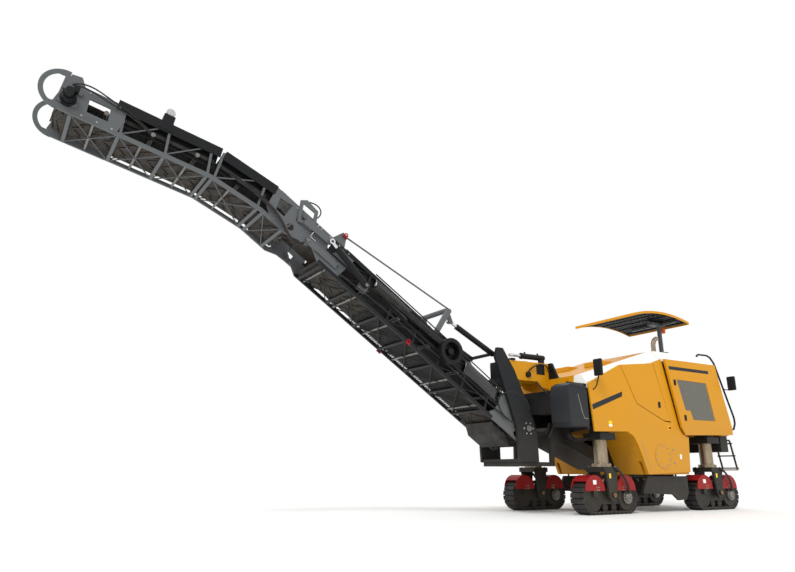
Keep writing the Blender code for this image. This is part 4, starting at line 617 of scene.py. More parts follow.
for side_name, side in (("left", 1), ("right", -1)):
    low, high = sorted((side * PANEL_BACK, side * PANEL_FACE))
    shape = bmesh.new()
    outline = [(0.37, 1.38), *ARCH, *PANEL_REAR, *PANEL_DOOR_EDGE, (0.44, 2.21)]
    plate(shape, outline, low, high, "Y", AT_LEGS)
    panel = piece(f"{side_name}_panel_sheet", shape, "machine", YELLOW, 0.008, 3)
    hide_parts(f"{side_name}_side_panel")

    shape = bmesh.new()
    plate(shape, DOOR, low, high, "Y", AT_LEGS)
    door = piece(f"{side_name}_door_sheet", shape, f"{side_name}_service_door", YELLOW, 0.008, 3)
    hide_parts(f"{side_name}_service_door")
    shape = bmesh.new()
    latch(shape, -1.42, 1.92, side * PANEL_FACE, side)
    piece(f"{side_name}_door_latch", shape, f"{side_name}_service_door", BLACK, 0.004)

    # the hood sheet, turned in along its lower edge
    shape = bmesh.new()
    pierced(shape, HOOD, [GRILLE], side * 1.10, side * HOOD_FACE, "Y", AT_LEGS)
    for vert in shape.verts:
        if vert.co.z < 1.45 and abs(vert.co.y) > 1.12:
            vert.co.y -= side * 0.038
    hood_body = f"{side_name}_rear_hood"
    hood = piece(f"{side_name}_hood_sheet", shape, hood_body, YELLOW, 0.008, 3)
    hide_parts(hood_body)
    wires = bmesh.new()
    # a black plate behind the wires: painted shade for the dark inside of the hood's opening
    shade_plate = bmesh.new()
    plate(shade_plate, GRILLE, *sorted((side * 1.104, side * 1.108)), "Y", AT_LEGS)
    for direction in (1, -1):
        step = Vector((math.cos(math.radians(45)), direction * math.sin(math.radians(45))))
        depth = side * (1.130 + 0.0050 * direction)
        for number in range(-WIRES_EACH_WAY, WIRES_EACH_WAY + 1):
            start = (-2.46 - number * WIRE_PITCH * step[1], 2.05 + number * WIRE_PITCH * step[0])
            for first, last in spans(GRILLE, start, step):
                ends = [(start[0] + step[0] * d, depth, start[1] + step[1] * d) for d in (first, last)]
                rod(wires, AT_LEGS @ Vector(ends[0]), AT_LEGS @ Vector(ends[1]), WIRE_RADIUS, 6)
    piece(f"{side_name}_grille_shade_plate", shade_plate, hood_body, BLACK)
    piece(f"{side_name}_grille_wires", wires, hood_body, ZINC)
    shape = bmesh.new()
    latch(shape, -1.86, 2.36, side * HOOD_FACE, side)
    latch(shape, -2.06, 1.70, side * HOOD_FACE, side)
    piece(f"{side_name}_hood_latches", shape, hood_body, BLACK, 0.004)
    shape = bmesh.new()
    stripe = [(-1.72, 2.665), (-2.96, 2.655), (-2.96, 2.595), (-1.735, 2.60)]
    plate(shape, stripe, *sorted((side * HOOD_FACE, side * (HOOD_FACE + STRIPE_THICK))), "Y", AT_LEGS)
    piece(f"{side_name}_hood_stripe", shape, hood_body, SLATE)

    # the bolted bearing cover, the slotted row, the labels and the stop button on the panel
    covers = bmesh.new()
    heads = bmesh.new()
    face = side * PANEL_FACE
    rim = (-1.37, 0.98)
    plate(covers, arc(rim, 0.225, 0, 352.5, 47), *sorted((face, face + side * 0.006)), "Y", AT_LEGS)
    ring = [from_legs(a, face + side * 0.006, b) for a, b in arc(rim, 0.20, 15, 345, 11)]
    bolts(heads, ring, "Y", side)
    bolts(heads, [from_legs(-1.68, face, z) for z in (0.86, 1.10)], "Y", side, 0.014, 0.012)
    row = [from_legs(-0.82 - n * 0.0114, face, 1.25 - n * 0.036) for n in range(15)]
    bolts(heads, row, "Y", side, 0.008, 0.006)
    piece(f"{side_name}_bearing_cover", covers, "machine", YELLOW, 0.003)
    piece(f"{side_name}_panel_bolts", heads, "machine", ZINC)
    for label, material, x, z, half in (
        ("warning_label", LABEL_YELLOW, -0.03, 1.545, (0.042, 0.028)),
        ("notice_label", LABEL_WHITE, -0.03, 1.495, (0.042, 0.020)),
        ("service_label", LABEL_WHITE, -1.88, 0.98, (0.026, 0.045)),
        ("button_plate", LABEL_YELLOW, -1.63, 1.50, (0.036, 0.036)),
    ):
        shape = bmesh.new()
        block(
            shape,
            (x - half[0], x + half[0]),
            sorted((face, face + side * LABEL_THICK)),
            (z - half[1], z + half[1]),
            AT_LEGS,
        )
        piece(f"{side_name}_{label}", shape, "machine", material)
    shape = bmesh.new()
    band = [(0.395, 1.84), (0.38, 1.75), (-0.40, 2.02), (-0.42, 2.11)]
    plate(shape, band, *sorted((face, face + side * STRIPE_THICK)), "Y", AT_LEGS)
    piece(f"{side_name}_panel_stripe", shape, "machine", SLATE)
    shape = bmesh.new()
    rod(shape, from_legs(-1.63, face, 1.50), from_legs(-1.63, face + side * 0.03, 1.50), 0.02, 24)
    piece(f"{side_name}_stop_button", shape, "machine", RED, 0.005, 3)

    # a mirror on a bent tube, with a brace to the panel
    runs = [
        route(AT_LEGS, (0.33, side * 1.07, 2.10), (0.34, side * 1.19, 2.12), (0.36, side * 1.25, 2.36)),
        route(AT_LEGS, (0.20, side * 1.07, 2.24), (0.30, side * 1.20, 2.30), (0.36, side * 1.25, 2.36)),
    ]
    hoses(f"{side_name}_mirror_arm", runs, 0.010, "machine", BLACK, 3)
    shape = bmesh.new()
    block(shape, (0.33, 0.39), sorted((side * 1.165, side * 1.335)), (2.32, 2.615), AT_LEGS)
    piece(f"{side_name}_mirror_shell", shape, "machine", BLACK, 0.02, 4)
    shape = bmesh.new()
    block(shape, (0.327, 0.331), sorted((side * 1.18, side * 1.32)), (2.34, 2.595), AT_LEGS)
    piece(f"{side_name}_mirror_glass", shape, "machine", CHROME)


# ---------------------------------------------------------------- front covers, hood and slew head
# The slate covers are moulded shells with deep chamfers and a side panel. The hood is sheet steel in white, a
# painted reflection of the sky, with a yellow crown. The slew head in front of it is a welded yellow box.
def loft(shape, rings):
    """Closed rings of points joined side to side, with both ends capped."""
    made = [[shape.verts.new(point) for point in ring] for ring in rings]
    for lower, upper in zip(made, made[1:]):
        for n in range(len(lower)):
            shape.faces.new((lower[n - 1], lower[n], upper[n], upper[n - 1]))
    shape.faces.new(made[0])
    shape.faces.new(made[-1])


for side_name, side in (("left", 1), ("right", -1)):
    shape = bmesh.new()
    rings = []
    for z, inset in ((1.45, 0.08), (1.53, 0.0), (2.06, 0.0), (2.15, 0.05), (2.20, 0.16)):
        plan = [
            (0.4904, 0.70),
            (1.0 - inset, 0.70),
            (1.0 - inset, 0.86),
            (0.94 - inset * 0.8, 1.08 - inset * 0.5),
            (0.4904, 1.08 - inset * 0.5),
        ]
        rings.append([from_legs(x, side * y, z) for x, y in plan])
    loft(shape, rings)
    cover = piece(f"{side_name}_cover_shell", shape, "machine", SLATE, 0.010, 3)
    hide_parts(f"{side_name}_front_cover")
    shape = bmesh.new()
    face = side * 1.08
    recess = [(0.72, 2.00), (0.58, 2.00), (0.545, 1.66), (0.52, 1.60), (0.60, 1.60), (0.64, 1.68)]
    plate(shape, recess, *sorted((face, face + side * 0.005)), "Y", AT_LEGS)
    piece(f"{side_name}_cover_panel", shape, "machine", SLATE, 0.002)
    shape = bmesh.new()
    for a, b in (
        ((0.725, 2.0), (0.645, 1.68)), ((0.645, 1.68), (0.60, 1.592)), ((0.60, 1.592), (0.52, 1.592))
    ):
        rod(shape, from_legs(a[0], face, a[1]), from_legs(b[0], face, b[1]), 0.0045, 8)
    piece(f"{side_name}_cover_trim", shape, "machine", ZINC)

# the hood's white is a painted reflection of the white sky on its chamfers
finish_node("front_hood", WHITE)
shape = bmesh.new()
crown = [(0.443, 2.21), (0.404, 2.386), (-1.60, 2.980), (-1.60, 2.962), (0.398, 2.368), (0.434, 2.21)]
plate(shape, crown, -0.74, 0.74, "Y", AT_LEGS)
for y in (-0.42, 0.42):
    block(shape, (-0.9, -0.5), (y - 0.22, y + 0.22), (2.66, 2.745), AT_LEGS)
piece("hood_crown", shape, "machine", YELLOW, 0.006)

shape = bmesh.new()
block(shape, (0.492, 1.22), (-0.226, 0.226), (2.306, 2.656), AT_LEGS)
for side in (-1, 1):
    plate(
        shape,
        [(1.215, 2.31), (1.51, 2.31), (1.51, 2.60), (1.44, 2.655), (1.215, 2.655)],
        *sorted((side * 0.2205, side * 0.227)),
        "Y",
        AT_LEGS,
    )
    plate(
        shape,
        [(0.492, 2.17), (0.492, 2.308), (0.78, 2.308), (0.70, 2.20)],
        *sorted((side * 0.20, side * 0.226)),
        "Y",
        AT_LEGS,
    )
block(shape, (0.46, 0.50), (-0.62, 0.62), (2.16, 2.36), AT_LEGS)
piece("slew_head_box", shape, "machine", YELLOW, 0.008, 3)
shape = bmesh.new()
for side in (-1, 1):
    rod(shape, from_legs(1.02, side * 0.226, 2.42), from_legs(1.02, side * 0.262, 2.42), 0.055, 28)
    block(shape, (0.60, 0.80), sorted((side * 0.227, side * 0.235)), (2.44, 2.62), AT_LEGS)
block(shape, (0.90, 1.10), (-0.17, -0.03), (2.656, 2.70), AT_LEGS)
piece("slew_head_fittings", shape, "machine", BLACK, 0.006)
shape = bmesh.new()
block(shape, (0.74, 0.86), (-0.16, -0.04), (2.656, 2.72), AT_LEGS)
rod(shape, from_legs(1.14, -0.1, 2.65), from_legs(1.14, -0.1, 2.74), 0.035, 20)
piece("slew_head_valves", shape, "machine", RED, 0.006)


# ---------------------------------------------------------------- platform fittings, canopy and beacon
# The canopy is a moulded shell with a yellow rim and a ribbed dark liner, on a grey steel post that slides
# in the platform's sleeve. Rails are bent black tube. The post's collar is bolted to the deck.
RAIL = [
    (-3.10, 0.86, 2.96), (-3.11, 0.86, 3.03), (-3.15, 0.87, 3.05), (-3.34, 0.92, 3.04), (-3.42, 0.94, 3.00)
]
RAIL += [
    (-3.50, 0.96, 2.88), (-3.84, 1.02, 1.78), (-3.83, 1.03, 1.66), (-3.76, 1.03, 1.54), (-3.545, 1.03, 1.54)
]
runs = [[from_legs(x, side * y, z) for x, y, z in RAIL] for side in (-1, 1)]
hoses("handrails", runs, 0.0185, "machine", BLACK, 2)
shape = bmesh.new()
for side in (-1, 1):
    block(shape, (-3.58, -3.52), sorted((side * 1.16, side * 1.32)), (2.30, 2.58), AT_LEGS)
piece("rear_mirror_shells", shape, "machine", BLACK, 0.02, 4)
runs = []
for side in (-1, 1):
    runs.append(
        route(AT_LEGS, (-3.66, side * 0.99, 2.36), (-3.62, side * 1.12, 2.30), (-3.55, side * 1.24, 2.34))
    )
hoses("rear_mirror_arms", runs, 0.010, "machine", BLACK, 3)

CANOPY_MIDDLE = -2.295
CANOPY_HALF = 0.875
CANOPY_EDGE_Z = 3.76
CANOPY_RISE = 0.12
CANOPY_BOW = (CANOPY_HALF**2 + CANOPY_RISE**2) / (2 * CANOPY_RISE)
CANOPY_SPREAD = math.degrees(math.asin(CANOPY_HALF / CANOPY_BOW))
CANOPY_CENTRE = (CANOPY_MIDDLE, CANOPY_EDGE_Z + CANOPY_RISE - CANOPY_BOW)
POST_X, POST_Y = -2.9, 0.22
COLLAR_TOP = 3.1605


def canopy_band(shape, top_drop, low_drop, half_width, spread=1.0):
    """Part of the bowed roof between two depths under its top."""
    limits = (90 - CANOPY_SPREAD * spread, 90 + CANOPY_SPREAD * spread)
    top = arc(CANOPY_CENTRE, CANOPY_BOW - top_drop, *limits, 24)
    low = arc(CANOPY_CENTRE, CANOPY_BOW - low_drop, *reversed(limits), 24)
    plate(shape, top + low, -half_width, half_width, "Y", AT_LEGS)


shape = bmesh.new()
canopy_band(shape, 0.0, 0.014, 0.75)
roof_shell = piece("canopy_shell", shape, "canopy", YELLOW, 0.005, 3)
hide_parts("canopy_roof")
rim = bmesh.new()
for side in (-1, 1):
    limits = (90 - CANOPY_SPREAD, 90 + CANOPY_SPREAD)
    edge = arc(CANOPY_CENTRE, CANOPY_BOW - 0.012, *limits, 24) + arc(
        CANOPY_CENTRE, CANOPY_BOW - 0.05, *reversed(limits), 24
    )
    plate(rim, edge, *sorted((side * 0.735, side * 0.75)), "Y", AT_LEGS)
for x in (CANOPY_MIDDLE - CANOPY_HALF, CANOPY_MIDDLE + CANOPY_HALF - 0.016):
    block(rim, (x, x + 0.016), (-0.745, 0.745), (3.708, 3.762), AT_LEGS)
piece("canopy_rim", rim, "canopy", YELLOW, 0.004)
liner = bmesh.new()
canopy_band(liner, 0.016, 0.022, 0.734, 0.98)
for number in range(-8, 9):
    y = number * 0.088
    limits = (90 - CANOPY_SPREAD * 0.95, 90 + CANOPY_SPREAD * 0.95)
    ridge = arc(CANOPY_CENTRE, CANOPY_BOW - 0.02, *limits, 20) + arc(
        CANOPY_CENTRE, CANOPY_BOW - 0.032, *reversed(limits), 20
    )
    plate(liner, ridge, y - 0.014, y + 0.014, "Y", AT_LEGS)
for number in range(-3, 4):
    angle = math.radians(90 + number * CANOPY_SPREAD * 0.3)
    turn = Matrix.Translation(
        (CANOPY_CENTRE[0], 0, CANOPY_CENTRE[1])
    ) @ Matrix.Rotation(math.pi / 2 - angle, 4, "Y")
    block(liner, (-0.018, 0.018), (-0.72, 0.72), (CANOPY_BOW - 0.045, CANOPY_BOW - 0.02), AT_LEGS @ turn)
piece("canopy_liner", liner, "canopy", BLACK, 0.003)

shape = bmesh.new()
rod(shape, from_legs(POST_X, POST_Y, 2.46), from_legs(POST_X, POST_Y, 3.82), 0.0445, 32)
block(shape, (-3.06, -2.60), (0.16, 0.28), (3.735, 3.80), AT_LEGS)
block(shape, (-2.93, -2.87), (-0.45, 0.62), (3.745, 3.79), AT_LEGS)
piece("canopy_post", shape, "canopy", FRAME_GREY, 0.006)
shape = bmesh.new()
rod(shape, from_legs(-3.04, 0.22, 3.60), from_legs(-3.04, 0.22, 3.735), 0.038, 28, 0.044)
# clear amber plastic
BEACON, _, beacon_shader, _ = new_material("amber_beacon_lens")
beacon_shader.inputs["Base Color"].default_value = linear("#f06a08")
beacon_shader.inputs["Roughness"].default_value = 0.12
beacon_shader.inputs["Transmission Weight"].default_value = 0.35
piece("beacon_lens", shape, "canopy", BEACON, 0.010, 3)

shape = bmesh.new()
rod(shape, from_legs(POST_X, POST_Y, 1.982), from_legs(POST_X, POST_Y, 3.128), 0.0625, 32)
plate(shape, arc((POST_X, POST_Y), 0.133, 0, 352.5, 47), 3.127, COLLAR_TOP, "Z", AT_LEGS)
piece("post_collar", shape, "machine", FRAME_GREY, 0.003)
shape = bmesh.new()
bolts(shape, [from_legs(a, b, COLLAR_TOP) for a, b in arc((POST_X, POST_Y), 0.105, 0, 315, 7)], "Z", 1, 0.012)
bolts(
    shape,
    [from_legs(-1.72 - n * 0.28, side * 0.80, 2.98) for n in range(6) for side in (-1, 1)],
    "Z",
    1,
    0.010,
)
piece("deck_bolts", shape, "machine", ZINC)


# ---------------------------------------------------------------- rear body and ladders
# A yellow tail casing over a black bumper box. The ladders are bent black tube with plate treads, and a
# yellow rod crosses each ladder's foot.
shape = bmesh.new()
block(shape, (-3.54, -3.2804), (-1.05, 1.05), (1.40, 1.98), AT_LEGS)
tail = piece("tail_casing", shape, "machine", YELLOW, 0.02, 3)
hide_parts("rear_body")
shape = bmesh.new()
block(shape, (-3.535, -3.30), (-1.0, 1.0), (1.09, 1.405), AT_LEGS)
for side in (-1, 1):
    for number in range(3):
        z = 0.78 + number * 0.24
        x = -3.78 + (z - 0.76) / 0.56 * 0.14
        block(
            shape, (x - 0.05, x + 0.05), sorted((side * 0.665, side * 0.995)), (z - 0.012, z + 0.012), AT_LEGS
        )
piece("bumper_and_treads", shape, "machine", BLACK, 0.005)
runs = []
for side in (-1, 1):
    for y in (0.68, 0.98):
        runs.append(route(AT_LEGS, (-3.52, side * y, 1.32), (-3.64, side * y, 1.32), (-3.78, side * y, 0.76)))
hoses("ladder_stringers", runs, 0.018, "machine", BLACK, 2)
shape = bmesh.new()
for side in (-1, 1):
    rod(shape, from_legs(-3.79, side * 0.66, 0.745), from_legs(-3.79, side * 1.00, 0.745), 0.011, 12)
    rod(shape, from_legs(-3.548, side * 0.78, 1.70), from_legs(-3.538, side * 0.78, 1.70), 0.045, 28)
piece("ladder_braces", shape, "machine", YELLOW)


# ---------------------------------------------------------------- milling drum and operator's seat
# The drum is a steel tube with forged pick holders set in two spirals and hardened picks in them. The seat is
# foam under dark woven cloth on a black pedestal.
DRUM_AXIS = Vector(joints["drum_spin"]["pos_m"])
TUBE_RADIUS = 0.36
TUBE_HALF = 0.65
PICK_COUNT = 104
PICK_TURN = 27.7
shape = bmesh.new()
rod(shape, DRUM_AXIS + Vector((0, -TUBE_HALF, 0)), DRUM_AXIS + Vector((0, TUBE_HALF, 0)), TUBE_RADIUS, 64)
holders = bmesh.new()
for number in range(PICK_COUNT):
    side = 1 if number % 2 else -1
    y = side * (0.62 - 0.60 * (number // 2) / (PICK_COUNT / 2))
    angle = math.radians(number // 2 * PICK_TURN + (180 if side > 0 else 0))
    turn = Matrix.Translation(DRUM_AXIS + Vector((0, y, 0))) @ Matrix.Rotation(angle, 4, "Y")
    block(shape, (-0.04, 0.04), (-0.022, 0.022), (0.34, 0.405), turn)
    rod(holders, turn @ Vector((0.0, 0, 0.395)), turn @ Vector((0.03, 0, 0.455)), 0.019, 8, 0.005)
drum = piece("drum_tube", shape, "milling_drum", CAST_IRON, 0.004, 1)
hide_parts("milling_drum")
piece("drum_picks", holders, "milling_drum", STEEL)

# dark woven cloth, two threads in a close check
CLOTH, cloth_tree, cloth_shader, cloth_place = new_material("seat_cloth")
weave = add(cloth_tree, "ShaderNodeTexChecker", {"Scale": 260.0}, {"Vector": cloth_place})
weave.inputs["Color1"].default_value = linear("#232427")
weave.inputs["Color2"].default_value = linear("#2f3035")
cloth_tree.links.new(weave.outputs["Color"], cloth_shader.inputs["Base Color"])
cloth_shader.inputs["Roughness"].default_value = 0.9
cloth_shader.inputs["Sheen Weight"].default_value = 0.3
bump_from(cloth_tree, cloth_shader, weave.outputs["Fac"], 0.4, 0.0008)


def cushion(shape, x, y, z, crown):
    """A padded slab that swells a little in the middle of its large faces."""
    bmesh.ops.create_grid(shape, x_segments=8, y_segments=8, size=0.5)
    rise = bmesh.ops.extrude_face_region(shape, geom=shape.faces[:])
    raised = [item for item in rise["geom"] if isinstance(item, bmesh.types.BMVert)]
    bmesh.ops.translate(shape, verts=raised, vec=(0, 0, 1))
    for vert in shape.verts:
        a, b, c = vert.co
        swell = 0.0
        if max(abs(a), abs(b)) < 0.49:
            swell = crown * math.cos(a * math.pi) ** 0.5 * math.cos(b * math.pi) ** 0.5
        vert.co = (
            (x[0] + x[1]) / 2 + a * (x[1] - x[0]),
            (y[0] + y[1]) / 2 + b * (y[1] - y[0]),
            z[0] + c * (z[1] - z[0]) + (swell if c > 0.5 else 0.0),
        )
    bmesh.ops.transform(shape, matrix=AT_LEGS, verts=shape.verts)


shape = bmesh.new()
cushion(shape, (-2.62, -2.14), (-0.25, 0.25), (2.345, 2.44), 0.025)
seat_pad = piece("seat_cushion", shape, "machine", CLOTH, 0.022, 4)
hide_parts("operator_seat")
shape = bmesh.new()
block(shape, (-2.70, -2.60), (-0.24, 0.24), (2.38, 2.955), AT_LEGS)
back_pad = piece("seat_backrest", shape, "machine", CLOTH, 0.04, 5)
shape = bmesh.new()
block(shape, (-2.50, -2.26), (-0.14, 0.14), (1.981, 2.345), AT_LEGS)
block(shape, (-2.69, -2.64), (-0.05, 0.05), (2.30, 2.60), AT_LEGS)
piece("seat_pedestal", shape, "machine", BLACK, 0.01)


# ---------------------------------------------------------------- discharge conveyor, lower section
# A truss of welded square tube in graphite enamel, with grey plate ends. The ribs are moulded on the belt.
# Pierced steel sheet guards the returning belt from below, and glossy rubberised covers hide the sides.
LUFF = Vector(joints["conveyor_luff"]["pos_m"])
ARM_FACE = 0.5078
SLOPE = math.radians(34.0)
LOWER = Matrix.Translation(LUFF) @ Matrix.Rotation(-SLOPE, 4, "Y")
CHORD_LOW = -0.30
CHORD_TOP = 0.215
SIDE_OUT = 0.4375
SIDE_IN = 0.3975
BELT_UNDER = -0.2495
FOLD_GAP_U = 4.69
FOLD_U, FOLD_W = 5.0, -0.143
ROLLER_RADIUS = 0.0345
ROLLER_W = -0.0354
RETURN_RADIUS = 0.0198
RETURN_W = -0.27
PULLEY_RADIUS = 0.114


def on_lower(u, y, w):
    """A point of the lower section: along its slope, across it and square to it, from the luff pin."""
    return LOWER @ Vector((u, y, w))


def beam(shape, start, end, width, depth, turn):
    """A flat bar or square tube between two points; width is across the conveyor."""
    start, end = Vector(start), Vector(end)
    along = end - start
    lie = Matrix.Translation(start) @ Vector((1, 0, 0)).rotation_difference(along).to_matrix().to_4x4()
    block(shape, (0.0, along.length), (-width / 2, width / 2), (-depth / 2, depth / 2), turn @ lie)


def lattice(shape, first, last, count, low, high, turn):
    """Posts and slanting rods of one side frame pair, between two chords."""
    pitch = (last - first) / count
    for side in (-1, 1):
        y = side * (SIDE_OUT - 0.02)
        for number in range(count + 1):
            a = first + number * pitch
            beam(shape, (a, y, low), (a + 0.05, y, high), 0.036, 0.036, turn)
        for number in range(count):
            a = first + number * pitch
            beam(shape, (a + pitch, y, low + 0.01), (a + 0.07, y, high - 0.01), 0.018, 0.018, turn)


def under_frame(cross, wires, first, last, count, low, turn):
    """Bars across the truss between the bottom chords, with crossed rods in every bay."""
    pitch = (last - first) / count
    for number in range(count + 1):
        a = first + number * pitch
        block(cross, (a - 0.025, a + 0.025), (-SIDE_IN, SIDE_IN), (low, low + 0.030), turn)
    for number in range(count):
        a = first + number * pitch
        for side in (-1, 1):
            ends = [(a + 0.03, side * -0.38, low + 0.012), (a + pitch - 0.03, side * 0.38, low + 0.012)]
            rod(wires, turn @ Vector(ends[0]), turn @ Vector(ends[1]), 0.009, 8)


def cleats(shape, first, last, height, turn, up=-1):
    """Staggered V ribs on the belt's outer face."""
    pitch = 0.21
    for number in range(int((last - first) / pitch)):
        a = first + (number + 0.7) * pitch
        for side in (-1, 1):
            for reach, out, skip in ((0.0, 0.14, 0.0), (-0.11, 0.29, 0.105)):
                near = (a + reach + skip * 0.3, side * (out - 0.13), height)
                far = (a + reach - 0.12 + skip * 0.3, side * out, height)
                beam(shape, near, far, 0.030, 0.016, turn)


frame_bars = bmesh.new()
wires = bmesh.new()
for side in (-1, 1):
    y = sorted((side * SIDE_IN, side * SIDE_OUT))
    block(frame_bars, (0.70, FOLD_GAP_U), y, (CHORD_LOW, CHORD_LOW + 0.055), LOWER)
    block(frame_bars, (0.70, FOLD_GAP_U), y, (CHORD_TOP - 0.05, CHORD_TOP), LOWER)
    block(frame_bars, (0.70, FOLD_GAP_U), y, (-0.045, -0.005), LOWER)
lattice(frame_bars, 0.90, 4.38, 6, CHORD_LOW + 0.04, -0.04, LOWER)
lattice(frame_bars, 0.90, 4.38, 6, -0.01, CHORD_TOP - 0.04, LOWER)
under_frame(frame_bars, wires, 0.92, 4.60, 6, CHORD_LOW - 0.002, LOWER)
truss = piece("lower_truss", frame_bars, "conveyor_lower", GRAPHITE, 0.005)
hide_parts("conveyor_frame_lower")
piece("lower_truss_rods", wires, "conveyor_lower", GRAPHITE)

shape = bmesh.new()
slot = [(-0.16, -0.255), (0.16, -0.255), (0.20, -0.21), (0.16, -0.165), (-0.16, -0.165), (-0.205, -0.19)]
tail = [
    (-0.26, 0.03), (-0.26, -0.22), (-0.18, -0.30), (0.72, -0.30), (0.80, -0.22), (0.72, -0.12),
    (0.72, 0.215), (0.58, 0.215), (0.22, 0.05),
]
hole = arc((0.0, 0.0), 0.036, 0, 337.5, 15)
fold_plate = [
    (4.30, -0.30), (4.68, -0.30), (4.89, -0.165), (4.89, -0.035), (4.994, -0.035), (4.994, 0.215),
    (4.20, 0.215),
]
fold_holes = [arc((4.62, 0.07), 0.085, 0, 337.5, 15), arc((4.44, -0.12), 0.06, 0, 337.5, 15)]
for side in (-1, 1):
    limits = sorted((side * (SIDE_IN + 0.012), side * (SIDE_OUT - 0.001)))
    pierced(shape, tail, [slot, hole], *limits, "Y", LOWER)
    pierced(shape, fold_plate, fold_holes, *limits, "Y", LOWER)
    ear = sorted((side * (SIDE_OUT + 0.008), side * (SIDE_OUT + 0.038)))
    plate(
        shape,
        [(4.40, -0.193), (5.0, -0.193), (5.05, -0.143), (5.0, -0.093), (4.40, -0.093)],
        *ear,
        "Y",
        LOWER,
    )
    block(
        shape,
        (4.42, 4.72),
        sorted((side * (SIDE_OUT - 0.01), side * (SIDE_OUT + 0.03))),
        (-0.185, -0.10),
        LOWER,
    )
    plate(
        shape,
        [(4.45, 0.195), (4.72, 0.195), (4.62, 0.42), (4.54, 0.42)],
        *sorted((side * 0.40, side * 0.425)),
        "Y",
        LOWER,
    )
    plate(
        shape,
        [(3.79, -0.19), (3.95, -0.19), (3.95, -0.01), (3.79, -0.01)],
        *sorted((side * (SIDE_OUT - 0.01), side * 0.49)),
        "Y",
        LOWER,
    )
piece("lower_end_plates", shape, "conveyor_lower", FRAME_GREY, 0.004)
shape = bmesh.new()
for side in (-1, 1):
    rod(shape, on_lower(FOLD_U, side * SIDE_IN, FOLD_W), on_lower(FOLD_U, side * 0.485, FOLD_W), 0.029, 24)
    rod(shape, on_lower(3.866, side * 0.42, -0.099), on_lower(3.866, side * 0.585, -0.099), 0.0295, 24)
    rod(shape, on_lower(-0.12, side * 0.30, -0.118), on_lower(-0.12, side * 0.445, -0.118), 0.04, 28)
for u in (0.35, 0.95, 1.65, 2.35, 3.05, 3.75, 4.4):
    rod(shape, on_lower(u, -0.40, ROLLER_W), on_lower(u, 0.40, ROLLER_W), ROLLER_RADIUS, 20)
    rod(shape, on_lower(u + 0.1, -0.40, RETURN_W), on_lower(u + 0.1, 0.40, RETURN_W), RETURN_RADIUS, 16)
rod(shape, on_lower(-0.12, -0.32, -0.118), on_lower(-0.12, 0.32, -0.118), PULLEY_RADIUS, 40)
piece("lower_rollers_and_pins", shape, "conveyor_lower", STEEL, 0.002, 1)

shape = bmesh.new()
bmesh.ops.create_grid(shape, x_segments=64, y_segments=19, size=0.5)
bmesh.ops.transform(shape, matrix=Matrix.Diagonal((2.62, 0.77, 1.0, 1.0)), verts=shape.verts)
opened = bmesh.ops.inset_individual(shape, faces=shape.faces[:], thickness=0.0085, depth=0.0)
inner = [face for face in shape.faces if face not in set(opened["faces"])]
bmesh.ops.delete(shape, geom=inner, context="FACES")
bmesh.ops.transform(shape, matrix=LOWER @ Matrix.Translation((2.23, 0, CHORD_LOW + 0.034)), verts=shape.verts)
guard = piece("belt_guard_mesh", shape, "conveyor_lower", BLACK)
sheet = guard.modifiers.new("sheet", "SOLIDIFY")
sheet.thickness = 0.003
sheet.offset = 0.0

shape = bmesh.new()
cleats(shape, 0.05, 4.62, BELT_UNDER - 0.006, LOWER)
piece("lower_belt_ribs", shape, "conveyor_lower", BELT, 0.004, 1)
shape = bmesh.new()
cleats(shape, 0.05, 2.7, 0.014 + 0.006, LOWER)
piece("lower_carrying_ribs", shape, "conveyor_lower", BELT, 0.004, 1)

# the white roof sheet and its dark folded edge
finish_node("conveyor_cover_lower", WHITE)
shape = bmesh.new()
for side in (-1, 1):
    block(
        shape,
        (2.74, 4.42),
        sorted((side * 0.425, side * 0.442)),
        (CHORD_TOP - 0.06, CHORD_TOP + 0.012),
        LOWER,
    )
    block(shape, (0.72, 4.66), sorted((side * 0.385, side * 0.3965)), (-0.03, CHORD_TOP - 0.01), LOWER)
piece("lower_cover_edges", shape, "conveyor_lower", BLACK, 0.002)

# glossy black sheet, creased where it is stretched
COVER_SHEET, sheet_tree, sheet_shader, sheet_place = new_material("rubberised_cover_sheet")
sheet_shader.inputs["Base Color"].default_value = linear("#141415")
creases = add(
    sheet_tree,
    "ShaderNodeTexNoise",
    {"Scale": 5.0, "Detail": 3.0, "Distortion": 1.2},
    {"Vector": sheet_place},
)
bump_from(sheet_tree, sheet_shader, creases.outputs["Fac"], 0.9, 0.03)
sheet_shader.inputs["Roughness"].default_value = 0.22
sheet_shader.inputs["Coat Weight"].default_value = 0.4


def bulging(shape, first, last, low, high, out, turn):
    """A soft sheet cover that bulges and ripples off the side frame."""
    rows, columns = 8, 14
    grid = []
    for row in range(rows + 1):
        line = []
        for column in range(columns + 1):
            a, b = column / columns, row / rows
            swell = out * (math.sin(math.pi * a) * math.sin(math.pi * b)) ** 0.5
            ripple = 0.012 * math.sin(9.0 * a + 5.0 * b) * math.sin(math.pi * b)
            u = first + (last - first) * a + 0.05 * (b - 0.5)
            y = SIDE_OUT + 0.001 + swell + ripple * math.sin(math.pi * a)
            line.append(shape.verts.new(turn @ Vector((u, y, low + (high - low) * b))))
        grid.append(line)
    for row in range(rows):
        for column in range(columns):
            near, far = grid[row], grid[row + 1]
            shape.faces.new((near[column], near[column + 1], far[column + 1], far[column]))


shape = bmesh.new()
bulging(shape, 0.78, 1.62, -0.02, 0.205, 0.05, LOWER)
bulging(shape, 2.92, 3.72, -0.01, 0.205, 0.04, LOWER)
dust_cover = piece("dust_cover_sheets", shape, "conveyor_lower", COVER_SHEET)
soft = dust_cover.modifiers.new("thickness", "SOLIDIFY")
soft.thickness = 0.004
soft.offset = 1.0

